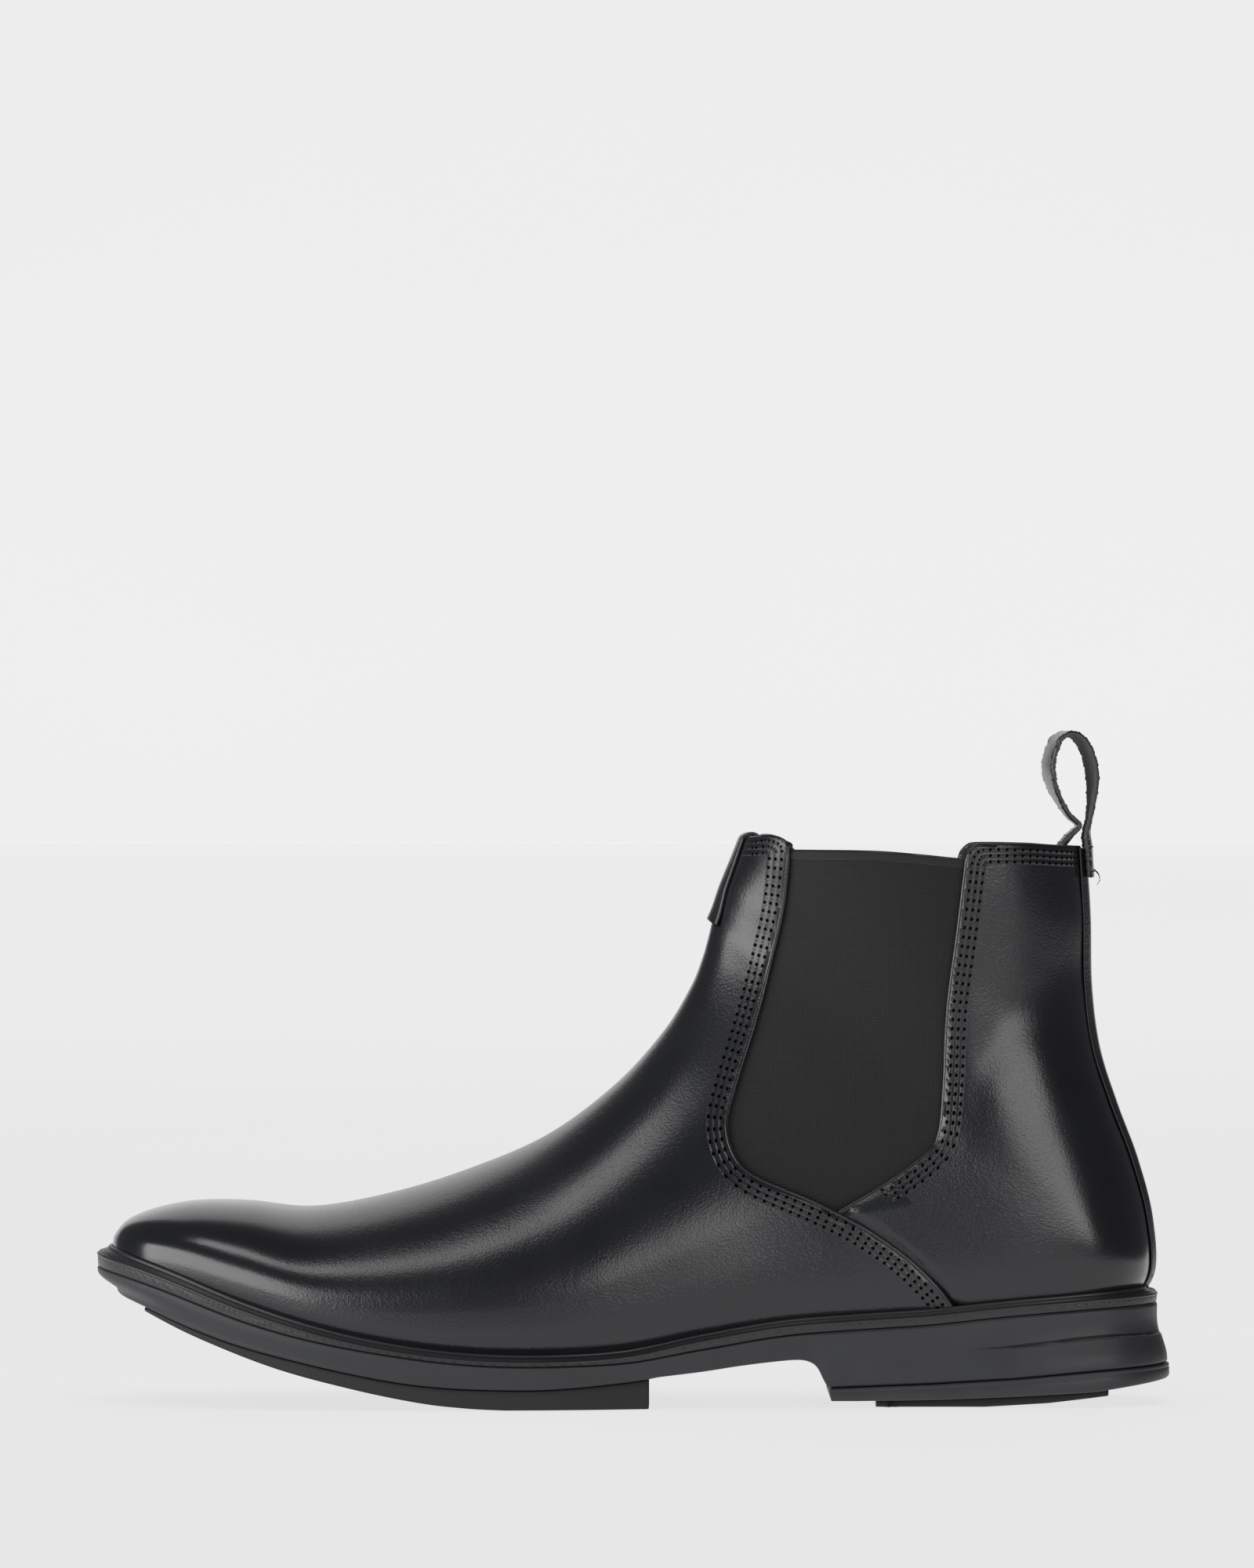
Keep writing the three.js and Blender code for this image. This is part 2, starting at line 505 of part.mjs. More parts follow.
/** A side-view point beside the back profile at height z. */
function alongBack(offset, z) {
  const profile = Array.from({ length: 24 }, (_, i) => profilePoint(2, LAST_SECTION * (0.7 + (0.3 * i) / 23), 0));
  return [heightAt(profile.map(([px, pz]) => [pz, px]), z) + offset, z];
}
const LEG_SPREAD = STRAP; // half the distance between the legs at the neck
const OUTER_FOOT = 9; // length sewn down outside
const INNER_FOOT = 12; // and inside
const PRESSED = 0.15; // how far a foot's face is flattened by what it's sewn to
const LOOP_PATH = [
  ...[-OUTER_FOOT, -OUTER_FOOT / 2, 0].map((z) => alongBack(OUTER_LEG + STRAP / 2 - PRESSED, SHAFT_HEIGHT + z)),
  [NECK[0] + LEG_SPREAD, NECK[1]],
  ...[[2.5, 7.5], [2.9, 15], [1.6, 21.6], [-1, 26], [-4.6, 27.4], [-8.4, 24.6], [-10.2, 18.5], [-9, 12],
    [-4.9, 4.8]].map(([x, z]) => [NECK[0] + x, NECK[1] + z]),
  [NECK[0] - LEG_SPREAD - 0.4, NECK[1] - 0.4],
  ...[0.7, -1.8, -INNER_FOOT / 2, -INNER_FOOT].map((z) => alongBack(INNER_LEG - STRAP / 2 + PRESSED, SHAFT_HEIGHT + z)),
];
const LOOP_STEPS = 36;
const LOOP_TWIST = THREE.MathUtils.degToRad(7); // of the loop's top about the upright
const LOOP_FORWARD = THREE.MathUtils.degToRad(45); // how far the loop leans in over the collar

/** How far the collar's back, grown by offset, lies ahead of its rearmost line at y. */
function collarSag(y, offset) {
  const cut = section(LAST_SECTION - 1, offset);
  const edge = y < cut.bottom ? cut.outer : cut.inner;
  const sine = Math.min((y - cut.bottom) / (edge - cut.bottom), 1) ** (cut.backPower / 2);
  const cosine = Math.sqrt(1 - sine * sine) ** (2 / cut.backPower);
  return (1 - cut.widest) * (1 - cosine) * (cut.back[0] - cut.front[0]);
}

/** The strap of the loop with its feet, or a run of it: curved like the collar, flat and twisted above. */
function strap(from = 0, to = LOOP_STEPS) {
  const path = smooth(LOOP_PATH, LOOP_STEPS);
  const across = [-1, -0.5, 0, 0.5, 1].map((f) => (f * STRAP_WIDTH) / 2);
  const faces = [STRAP / 2, -STRAP / 2].map((distance) => beside(path, distance));
  const rings = path.map(([, height], i) => {
    const flat = THREE.MathUtils.smoothstep(height, NECK[1] - 2, NECK[1] + 6);
    const turn = LOOP_TWIST * THREE.MathUtils.smoothstep(height, NECK[1] + 2, NECK[1] + 18);
    const leg = i < LOOP_STEPS / 2 ? OUTER_LEG : INNER_LEG;
    const place = (face, y) => {
      const [x, z] = face[i];
      const at = new THREE.Vector3(x - collarSag(y, leg) * (1 - flat) - NECK[0], y, z);
      at.applyAxisAngle(new THREE.Vector3(0, 0, 1), turn);
      return at.add(new THREE.Vector3(NECK[0], 0, 0));
    };
    return [...across.map((y) => place(faces[0], y)), ...[...across].reverse().map((y) => place(faces[1], y))];
  });
  return loft(rings.slice(from, to + 1));
}

/** A disc-shaped cutter about the neck, right across the strap. */
function neckDisc(radius) {
  const disc = new THREE.CylinderGeometry(radius, radius, 2 * STRAP_WIDTH, 32);
  return solidOf(disc.translate(NECK[0], 0, NECK[1]));
}

// ---- Assembly -------------------------------------------------------------------------------------
const box = (x0, x1, y0, y1, z0, z1) =>
  solidOf(new THREE.BoxGeometry(x1 - x0, y1 - y0, z1 - z0).translate((x0 + x1) / 2, (y0 + y1) / 2, (z0 + z1) / 2));
const halves = { outer: box(-FAR, FAR, -FAR, -GAP / 2, -FAR, FAR), inner: box(-FAR, FAR, GAP / 2, FAR, -FAR, FAR) };

const lastingHole = planPrism(footOutline(() => -LASTING_MARGIN)).intersect(sidePrism(under(BOTTOM, 9)));
const lasted = (solid) => solid.subtract(lastingHole);
const leather = lasted(shell(0, LEATHER_IN));
const middle = lasted(shell(MIDDLE_OUT, MIDDLE_IN));
const pocket = shell(LEATHER_IN, LINING_OUT);
const liningLayer = lasted(shell(LEATHER_IN - GAP, LINING_IN));

const vampRegion = sidePrism(vampOutline(0));
const quarterRegion = sidePrism(quarterOutline(GAP));
const gussetRegion = (grow) => sidePrism(gussetOutline(SEAM_LAP + grow));
/** The band along the lower vamp edge where the quarter is joggled down and runs on under the vamp. */
const lapRegion = (from, to) =>
  sidePrism([...beside(VAMP_EDGE, from).slice(LAP_START), ...beside(VAMP_EDGE, to).slice(LAP_START).reverse()]);
const JOGGLE = 2.2;

const puffRegion = (grow) =>
  sidePrism(drawn([[-200, -200], [-200, 200], [-96 + grow, 200], [-96 + grow, 50], [-106 + grow, 15], [-106 + grow, -200]]));
const counterRegion = (grow) =>
  sidePrism(drawn([[102 - grow, -200], [101 - grow, 40], [113 - grow, 78 + grow], [200, 90 + grow], [200, -200]]));

const gussetPocket = pocket.intersect(gussetRegion(GAP));
const pockets = [puffRegion(GAP), counterRegion(GAP), lapRegion(-SEAM_LAP - GAP, JOGGLE + GAP)]
  .map((region) => pocket.intersect(region))
  .reduce((all, one) => all.add(one), gussetPocket);

function quarter(side) {
  const joggle = lasted(shell(0, MIDDLE_IN)).intersect(lapRegion(GAP, JOGGLE));
  const lap = joggle.add(middle.intersect(lapRegion(-SEAM_LAP, JOGGLE))).subtract(gussetPocket);
  return leather.intersect(quarterRegion).add(lap).intersect(halves[side]);
}

const bindingBand = (from, to) =>
  sidePrism([...GUSSET_TOP.map(([x, z]) => [x, z - from]), ...GUSSET_TOP.map(([x, z]) => [x, z - to]).reverse()]);
const gussetBlank = (side) => middle.intersect(gussetRegion(0)).intersect(halves[side]);
const gusset = (side) => gussetBlank(side).subtract(bindingBand(-20, BINDING + GAP));
const binding = (side) => gussetBlank(side).intersect(bindingBand(-1, BINDING));

const aboveWelt = sidePrism([...WELT_LINE.map(([x, z]) => [x, z + 1.1]), [FAR, FAR], [-FAR, FAR]]);
const stripBox = (width, x0, x1, z0, z1) => box(x0, x1, -width / 2, width / 2, z0, z1);
const heelHalf = (width, z0, z1) => stripBox(width, 80 * stretch.x, FAR, z0, z1);
const backStrip = () =>
  shell(STRAP_OUT, GAP).intersect(heelHalf(STRAP_WIDTH, 0, SHAFT_HEIGHT - 0.6)).intersect(aboveWelt);

const TAB_DROP = { outside: 25, inside: 12 }; // how far the front tab comes down on each face
function frontTab() {
  const inside = LINING_IN - GAP;
  const front = stripBox(TAB_WIDTH, -FAR, 60 * stretch.x, 0, FAR);
  /** The front strip between two depths under the tab's top face. */
  const band = (from, to) =>
    sidePrism([
      ...VAMP_TOP.map(([x, z]) => [x, z + STRAP_OUT - from]),
      ...VAMP_TOP.map(([x, z]) => [x, z + STRAP_OUT - to]).reverse(),
    ]).intersect(front);
  const outside = shell(STRAP_OUT, GAP).intersect(band(0, TAB_DROP.outside));
  const within = shell(inside, inside - STRAP).intersect(band(0, TAB_DROP.inside));
  const over = shell(STRAP_OUT, inside - STRAP).intersect(band(0, STRAP));
  return outside.add(within).add(over);
}

const sock = form(LINING_IN - GAP);
const INSOLE = LINING_IN - GAP; // depth of the insole board's underside below the upper's outer surface
const layer = (from, to) => sidePrism(under(BOTTOM, to)).subtract(sidePrism(under(BOTTOM, from)));
const board = sock.intersect(sidePrism(under(BOTTOM, BOARD - INSOLE)));
const footbed = sock.intersect(layer(BOARD - INSOLE + GAP, BOARD - INSOLE + GAP + FOOTBED));

const shankBand = (grow, from, to) => {
  const [half, wide] = [SHANK.length / 2 + grow, SHANK.width / 2 + grow];
  return layer(from, to).intersect(box(SHANK.centre - half, SHANK.centre + half, -wide - 2, wide - 2, -FAR, FAR));
};
const shankTop = -LINING_IN - 0.2;
const shank = shankBand(0, shankTop - SHANK.thickness, shankTop);
const filler = shell(0, LINING_IN)
  .intersect(planPrism(footOutline(() => -LASTING_MARGIN - GAP)))
  .intersect(sidePrism(under(BOTTOM, 8)))
  .subtract(shankBand(GAP, shankTop - SHANK.thickness - GAP, shankTop + 5));

const upperInSole = form(GAP);
const archCut = sidePrism(ARCH);
const welt = weltBlock().subtract(upperInSole);
const heelBottom = sidePrism([[-FAR, -FAR], ...LIP_TOP.map(([x, z]) => [x, z + GAP / 2]), [FAR, -FAR]]);
const ahead = box(-FAR, 25 * stretch.x, -FAR, FAR, -FAR, FAR);
const soleUnit = soleBlock().subtract(upperInSole).subtract(archCut).subtract(heelBottom.subtract(ahead));
const topPiece = lipBlock().subtract(ahead).subtract(archCut);

const sidewallFoot = (x) => weltMargin(x) - 0.4 + sidewallFlare(x);
const forefootTread = planPrism(footOutline((x) => sidewallFoot(x) - TREAD_INSET))
  .intersect(sidePrism(FOREFOOT_TREAD))
  .subtract(grooves(TREAD_LINE.concat([[TREAD_END, 0]]), -126 * stretch.x, -6 * stretch.x));
const heelTread = planPrism(footOutline((x) => sidewallFoot(x) - HEEL_TREAD_INSET))
  .intersect(sidePrism(HEEL_TREAD))
  .subtract(grooves(HEEL_TREAD_LINE, 76 * stretch.x, 130 * stretch.x));

const aboveNeck = box(-FAR, FAR, -FAR, FAR, NECK[1], FAR);
const pullLoop = strap().intersect(aboveNeck).subtract(neckDisc(NECK_RADIUS));
const loopFoot = (from, to) => strap(from, to).subtract(aboveNeck.subtract(neckDisc(NECK_RADIUS - GAP)));
const overCollar = box(-FAR, FAR, -FAR, FAR, SHAFT_HEIGHT + 2 * GAP, FAR);
const outerFoot = loopFoot(0, LOOP_STEPS / 2).subtract(form(OUTER_LEG).subtract(overCollar));
/** Where the loop's inner leg passes as it leans forward, with a little to spare. */
const innerLeg = strap(Math.round(LOOP_STEPS * 0.6), LOOP_STEPS).intersect(aboveNeck);
const clearOfLeg = innerLeg.add(innerLeg.translate([0, 0, -GAP / 4])).subtract(neckDisc(NECK_RADIUS - GAP / 10));
const legSwing = Array.from({ length: 13 }, (_, i) => {
  const turn = new THREE.Matrix4().makeRotationY((-(i + 1) / 12.5) * LOOP_FORWARD);
  const about = new THREE.Matrix4().makeTranslation(NECK[0], 0, NECK[1]);
  return clearOfLeg.transform(about.multiply(turn).multiply(new THREE.Matrix4().makeTranslation(-NECK[0], 0, -NECK[1])).elements);
}).reduce((all, one) => all.add(one));
const innerFoot = loopFoot(LOOP_STEPS / 2, LOOP_STEPS)
  .intersect(form(INNER_LEG).add(overCollar))
  .subtract(legSwing);

const MATERIALS = {
  upper: { color: 0x17181c, roughness: 0.34 },
  lining: { color: 0x3a332d, roughness: 0.7 },
  stiffener: { color: 0x8a8378, roughness: 0.85 },
  elastic: { color: 0x1b1b1e, roughness: 0.8 },
  tape: { color: 0x141416, roughness: 0.7 },
  strap: { color: 0x1a1b1f, roughness: 0.4 },
  board: { color: 0xa08c6c, roughness: 0.9 },
  cork: { color: 0x9c7a52, roughness: 0.95 },
  steel: { color: 0x8e9297, roughness: 0.35, metalness: 1 },
  welt: { color: 0x1d1e21, roughness: 0.45 },
  sole: { color: 0x2b2c2f, roughness: 0.6 },
  tread: { color: 0x1e1f21, roughness: 0.75 },
};

const boot = new THREE.Group();
boot.name = "chelsea_boot";

/** Adds one solid to the boot as a mesh with its own material. */
function add(name, material, solid) {
  const { vertProperties, triVerts } = solid.getMesh();
  const geometry = new THREE.BufferGeometry();
  geometry.setAttribute("position", new THREE.BufferAttribute(new Float32Array(vertProperties), 3));
  geometry.setIndex(new THREE.BufferAttribute(new Uint32Array(triVerts), 1));
  geometry.computeVertexNormals();
  const mesh = new THREE.Mesh(geometry, new THREE.MeshStandardMaterial({ metalness: 0, ...MATERIALS[material] }));
  mesh.name = name;
  boot.add(mesh);
}

add("vamp", "upper", leather.intersect(vampRegion));
add("quarter_outer", "upper", quarter("outer"));
add("quarter_inner", "upper", quarter("inner"));
add("gusset_outer", "elastic", gusset("outer"));
add("gusset_inner", "elastic", gusset("inner"));
add("gusset_tape_outer", "tape", binding("outer"));
add("gusset_tape_inner", "tape", binding("inner"));
add("back_strip", "strap", backStrip());
add("front_tab", "strap", frontTab());
add("pull_loop", "strap", pullLoop);
add("loop_foot_outer", "strap", outerFoot);
add("loop_foot_inner", "strap", innerFoot);
add("toe_puff", "stiffener", middle.intersect(puffRegion(0)));
add("heel_counter", "stiffener", middle.intersect(counterRegion(0)));
add("vamp_lining", "lining", liningLayer.intersect(vampRegion).subtract(pockets));
add("quarter_lining", "lining", liningLayer.intersect(quarterRegion).subtract(pockets));
add("insole_board", "board", board);
add("footbed", "lining", footbed);
add("filler", "cork", filler);
add("shank", "steel", shank);
add("welt", "welt", welt);
add("sole_unit", "sole", soleUnit);
add("heel_top_piece", "sole", topPiece);
add("forefoot_tread", "tread", forefootTread);
add("heel_tread", "tread", heelTread);

// The boot stands on z = 0 with the middle of its length and width over the origin.
const overall = new THREE.Box3().setFromObject(boot).getCenter(new THREE.Vector3());
for (const mesh of boot.children) mesh.geometry.translate(-overall.x, -overall.y, 0);

export default boot;
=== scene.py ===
import math

import bpy
import numpy as np
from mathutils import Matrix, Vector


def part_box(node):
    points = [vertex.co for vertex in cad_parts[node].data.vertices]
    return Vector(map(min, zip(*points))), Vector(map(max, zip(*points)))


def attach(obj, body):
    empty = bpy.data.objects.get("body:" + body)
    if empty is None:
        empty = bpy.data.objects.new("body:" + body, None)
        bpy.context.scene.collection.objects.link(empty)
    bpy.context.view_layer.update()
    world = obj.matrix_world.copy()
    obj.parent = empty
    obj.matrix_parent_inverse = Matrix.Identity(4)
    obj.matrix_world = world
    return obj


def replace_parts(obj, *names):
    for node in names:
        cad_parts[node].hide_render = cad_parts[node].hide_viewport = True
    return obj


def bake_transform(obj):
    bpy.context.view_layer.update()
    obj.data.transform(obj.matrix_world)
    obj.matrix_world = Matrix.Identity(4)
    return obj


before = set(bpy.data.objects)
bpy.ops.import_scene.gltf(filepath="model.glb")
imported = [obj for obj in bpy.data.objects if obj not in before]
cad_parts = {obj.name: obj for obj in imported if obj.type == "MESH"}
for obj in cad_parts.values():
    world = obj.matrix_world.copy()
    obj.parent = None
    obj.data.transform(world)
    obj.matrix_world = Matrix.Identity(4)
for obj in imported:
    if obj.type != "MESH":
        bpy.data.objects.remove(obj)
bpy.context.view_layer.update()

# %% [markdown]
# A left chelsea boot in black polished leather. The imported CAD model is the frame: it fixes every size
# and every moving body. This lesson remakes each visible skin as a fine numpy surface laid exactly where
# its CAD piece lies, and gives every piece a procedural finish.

MM = 0.001

# %% [markdown]
# The upper is lasted: the leather is pulled over a last, so its shape is the last's shape. A last is
# described well by sections that fan from the toe round the instep to the collar. Each section here has
# two profile points, two widths and two superellipse powers, and a Catmull-Rom curve joins them. Working
# from sections, rather than sculpting, keeps every layer parallel: one offset gives leather, another lining.

# %% The last's sections, in millimetres
# front x, z | back x, z | outer y | inner y | ridge y | bottom y | widest | front power | back power
SECTIONS = np.array([
    [-147.6, 44.6, -147.6, 41.4, 7, 7, 7, 7, 0.6, 2.2, 2.2],
    [-146.4, 47.8, -146.7, 38.6, -4.5, 17.5, 7, 7, 0.62, 2.3, 2.6],
    [-142.8, 51.3, -143.4, 36.4, -14.5, 25.5, 7, 6.5, 0.64, 2.4, 3],
    [-135.2, 54.3, -135.8, 33.8, -23.5, 31.5, 7, 6, 0.66, 2.4, 3.4],
    [-123.8, 56.4, -123.4, 29.4, -31.5, 36.5, 7, 5, 0.68, 2.3, 3.8],
    [-109, 56.4, -107.5, 23.9, -38, 40, 7, 3.5, 0.7, 2.2, 4],
    [-90.6, 54.8, -87, 17.6, -43.5, 42.6, 7, 2, 0.7, 2.1, 4],
    [-68.4, 58.7, -63, 12.7, -47.3, 43.8, 6.5, 0, 0.7, 2.05, 4],
    [-46.2, 65.6, -38, 10.5, -48.8, 43, 6, -2, 0.7, 2, 4],
    [-24.1, 75.3, -11, 10.6, -47, 39.5, 5, -3, 0.68, 2, 4],
    [-5, 89.6, 18, 15.8, -42.5, 35, 4, -3, 0.66, 2, 4.4],
    [8.4, 104.4, 50, 20.4, -38, 32.5, 3, -2, 0.64, 2, 5],
    [15.9, 116.6, 83, 22.4, -35.5, 32.5, 2, -1, 0.62, 2, 6],
    [19.2, 124.6, 112, 24.6, -34.5, 33, 1.5, 0, 0.62, 2, 6],
    [21, 130.8, 134.5, 27, -33.5, 32.6, 1, 0, 0.62, 2, 4.2],
    [22.3, 136.2, 145, 35, -32.5, 32, 1, 0, 0.62, 2, 3],
    [23.6, 140.8, 145.2, 51, -31.8, 31.4, 0.5, 0, 0.58, 2, 2.5],
    [25, 145, 141.1, 67.8, -31.6, 31.2, 0, 0, 0.54, 2, 2.3],
    [26.5, 148.8, 135.3, 83.5, -32, 31.6, 0, 0, 0.52, 2, 2.2],
    [28, 152.4, 130.3, 99.5, -32.8, 32.4, 0, 0, 0.5, 2, 2.1],
    [29.2, 155.4, 128, 117, -33.8, 33.4, 0, 0, 0.48, 2, 2.1],
    [30.4, 158.4, 127.6, 137, -34.8, 34.4, 0, 0, 0.46, 2, 2.1],
    [31.6, 161.4, 126.4, 157.2, -35.4, 35, 0, 0, 0.45, 2, 2.1],
    [33.4, 167, 126.2, 167, -35.6, 35.2, 0, 0, 0.45, 2, 2.1],
])
SECTIONS[:, 4:8] *= 101 / 95.5  # widened to the boot's real width
LAST = len(SECTIONS) - 1
# The CAD model is centred over the origin, so the sections' own origin is found from two of its pieces.
ORIGIN = np.array([1000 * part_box("vamp")[0][0] + 147.6, 1000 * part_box("quarter_outer")[1][1] + 0.15, 0.0])
LEATHER_IN, LINING_OUT, LINING_IN = -1.5, -3.2, -4.2
print("sections' origin (mm):", ORIGIN.round(2))


# %% [markdown]
# A section is two quarters of a superellipse, front and back, on each side of the boot. Angle 0 is the
# ridge in front and pi is the bottom or the back. The same function makes every layer of the upper.

# %% Points of the upper's surface
def catmull(rows, first, last, s):
    """Catmull-Rom through rows at the integers: a cubic whose slope at each row is half its neighbours' gap."""
    v = np.concatenate([[first], rows, [last]])
    i = np.clip(np.floor(s).astype(int), 0, len(rows) - 2)
    a, b, c, d = v[i], v[i + 1], v[i + 2], v[i + 3]
    f = (s - i).reshape(np.shape(s) + (1,) * (v.ndim - 1))
    return b + 0.5 * f * (c - a + f * (2 * a - 5 * b + 4 * c - d + f * (3 * (b - c) + d - a)))


def column(k, s):
    """Column k of the sections at section number s. The toe's x values turn back, so the toe is round."""
    rows = SECTIONS[:, k]
    return catmull(rows, rows[1] if k in (0, 2) else 2 * rows[0] - rows[1], 2 * rows[-1] - rows[-2], s)


def profile(k, s, offset):
    """Profile point (k = 0 front, 2 back), moved by offset along the profile's normal."""
    low, high = np.maximum(s - 0.02, 0), np.minimum(s + 0.02, LAST)
    dx, dz = column(k, high) - column(k, low), column(k + 1, high) - column(k + 1, low)
    size = np.maximum(np.hypot(dx, dz), 1e-9) * (1 if k == 0 else -1)
    return column(k, s) - offset * dz / size, column(k + 1, s) + offset * dx / size


def upper(s, angle, side, offset=0.0):
    """Surface point: y grows as sin^(2/p) and the way along the section line as 1 - cos^(2/p)."""
    s, angle, side, offset = (np.asarray(v, float) for v in np.broadcast_arrays(s, angle, side, offset))
    outer, inner, ridge, bottom = (column(k, s) for k in (4, 5, 6, 7))
    half, middle = np.maximum((inner - outer) / 2 + offset, 0), (inner + outer) / 2
    widest, front_power, back_power = (column(k, s) for k in (8, 9, 10))
    in_front = angle < math.pi / 2
    power = np.where(in_front, front_power, back_power)
    start = middle + np.clip(np.where(in_front, ridge, bottom) - middle, -0.9 * half, 0.9 * half)
    sine = np.maximum(np.sin(angle), 0) ** (2 / power)
    cosine = np.abs(np.cos(angle)) ** (2 / power)
    along = np.where(in_front, widest * (1 - cosine), widest + (1 - widest) * cosine)
    (fx, fz), (bx, bz) = profile(0, s, offset), profile(2, s, offset)
    y = start + (middle + side * half - start) * sine
    return np.stack([fx + along * (bx - fx), y, fz + along * (bz - fz)], -1)


def bisect(low, high, value, steps=34):
    """Halves the interval low..high until value(middle) changes sign; value is positive at low."""
    for _ in range(steps):
        middle = (low + high) / 2
        above = value(middle) > 0
        low, high = np.where(above, middle, low), np.where(above, high, middle)
    return (low + high) / 2


def at_side(line, offset=0.0):
    """Section number and angle under side-view points: the fan's line through each point, then its fraction."""
    x, z = line[:, 0], line[:, 1]

    def turn(s):
        (fx, fz), (bx, bz) = profile(0, s, offset), profile(2, s, offset)
        return (bx - fx) * (z - fz) - (bz - fz) * (x - fx)

    tries = np.linspace(0.4, LAST, 240)
    signs = np.array([turn(np.full(len(x), s)) > 0 for s in tries])
    last = np.clip(len(tries) - 1 - np.argmax(signs[::-1], 0), 0, len(tries) - 2)
    s = bisect(tries[last], tries[last + 1], turn)
    (fx, fz), (bx, bz) = profile(0, s, offset), profile(2, s, offset)
    along = ((x - fx) * (bx - fx) + (z - fz) * (bz - fz)) / ((bx - fx) ** 2 + (bz - fz) ** 2)
    along, widest = np.clip(along, 0, 1), column(8, s)
    front = np.arccos(np.clip(1 - along / widest, 0, 1) ** (column(9, s) / 2))
    back = math.pi - np.arccos(np.clip((along - widest) / (1 - widest), 0, 1) ** (column(10, s) / 2))
    return s, np.where(along < widest, front, back)


# %% [markdown]
# Seams are drawn once, in side view, as smooth lines. A piece of leather is the part of the surface on
# one side of its lines. Distances to a line are also kept, because the stitch rows run parallel to it.

# %% Seam lines in side view
def smooth(points, steps):
    """Catmull-Rom through the points, with the ends repeated."""
    p = np.array(points, float)
    return catmull(p, p[0], p[-1], np.linspace(0, len(p) - 1, steps + 1))


VAMP_EDGE = smooth([
    [43.6, 155.2], [42, 140], [38.4, 124], [34, 107.5], [28.8, 91], [26.1, 79.5], [28.3, 70.5],
    [34, 65], [48.5, 58.6], [62.5, 52], [74.2, 44.3], [82.2, 37.2], [89, 29], [96, 16]], 180)
QUARTER_EDGE = smooth([[92.6, 153], [90.2, 133], [87.3, 111], [86.2, 89], [84.7, 76.4], [80.6, 70.4],
                       [69.5, 62.3], [56.5, 54.6]], 120)
VAMP_TOP = smooth([[0, 159.9], [31.4, 159.9], [36, 160.4], [39, 160.2], [41.8, 159.1], [43.4, 157.3]], 60)
QUARTER_TOP = smooth([[93.4, 155.2], [95.4, 157.2], [98.6, 157.9], [112, 157.7], [126, 157], [170, 156.6]], 60)
GUSSET_TOP = smooth([[34, 156.3], [46, 156.1], [66, 155.7], [79, 154.8], [103, 152.3]], 40)
WELT_LINE = smooth([
    [-160, 45], [-147.6, 43.2], [-131, 37.9], [-107.8, 28.7], [-85.9, 21.9], [-64.6, 17.5], [-43.6, 15.2],
    [-22.8, 14.8], [-1.9, 16.1], [19.2, 20.3], [40.6, 23.9], [61.9, 25.6], [83.2, 27], [104.4, 29.2],
    [126.4, 31], [144.4, 32.4], [160, 33.5]], 400)


def height(line, x):
    """Height of a left-to-right line at x."""
    return np.interp(x, line[:, 0], line[:, 1])


def beside(line, x, z):
    """Signed distance to the nearest segment, positive on the line's left, and the length along to there."""
    a, d = line[:-1], np.diff(line, axis=0)
    run = np.concatenate([[0], np.cumsum(np.hypot(*d.T))])
    out, along = np.empty(len(x)), np.empty(len(x))
    for k in range(0, len(x), 8000):
        px, pz = x[k:k + 8000, None] - a[:, 0], z[k:k + 8000, None] - a[:, 1]
        t = np.clip((px * d[:, 0] + pz * d[:, 1]) / (d ** 2).sum(1), 0, 1)
        gap = np.hypot(px - t * d[:, 0], pz - t * d[:, 1])
        j = gap.argmin(1)
        i = np.arange(len(j))
        out[k:k + 8000] = gap[i, j] * np.sign(d[j, 0] * pz[i, j] - d[j, 1] * px[i, j])
        along[k:k + 8000] = run[j] + t[i, j] * np.diff(run)[j]
    return out, along


def extended(line, far=60):
    """The line with a straight run added at both ends."""
    start, end = line[0] - line[1], line[-1] - line[-2]
    return np.vstack([line[0] + far * start / np.hypot(*start), line, line[-1] + far * end / np.hypot(*end)])


def moved(line, distance):
    """The line moved square to itself, to its left."""
    d = np.gradient(line, axis=0)
    d /= np.hypot(*d.T)[:, None]
    return line + distance * np.stack([-d[:, 1], d[:, 0]], 1)


print("vamp edge length (mm):", round(np.hypot(*np.diff(VAMP_EDGE, axis=0).T).sum(), 1))


# %% [markdown]
# Meshes are filled from whole arrays. A sheet is cut along a line by clipping its triangles: a corner on
# the wrong side is replaced by points where the line crosses the triangle's edges, so cut edges are
# smooth however coarse the grid is. A boolean would do the same cut more slowly and leave long faces.

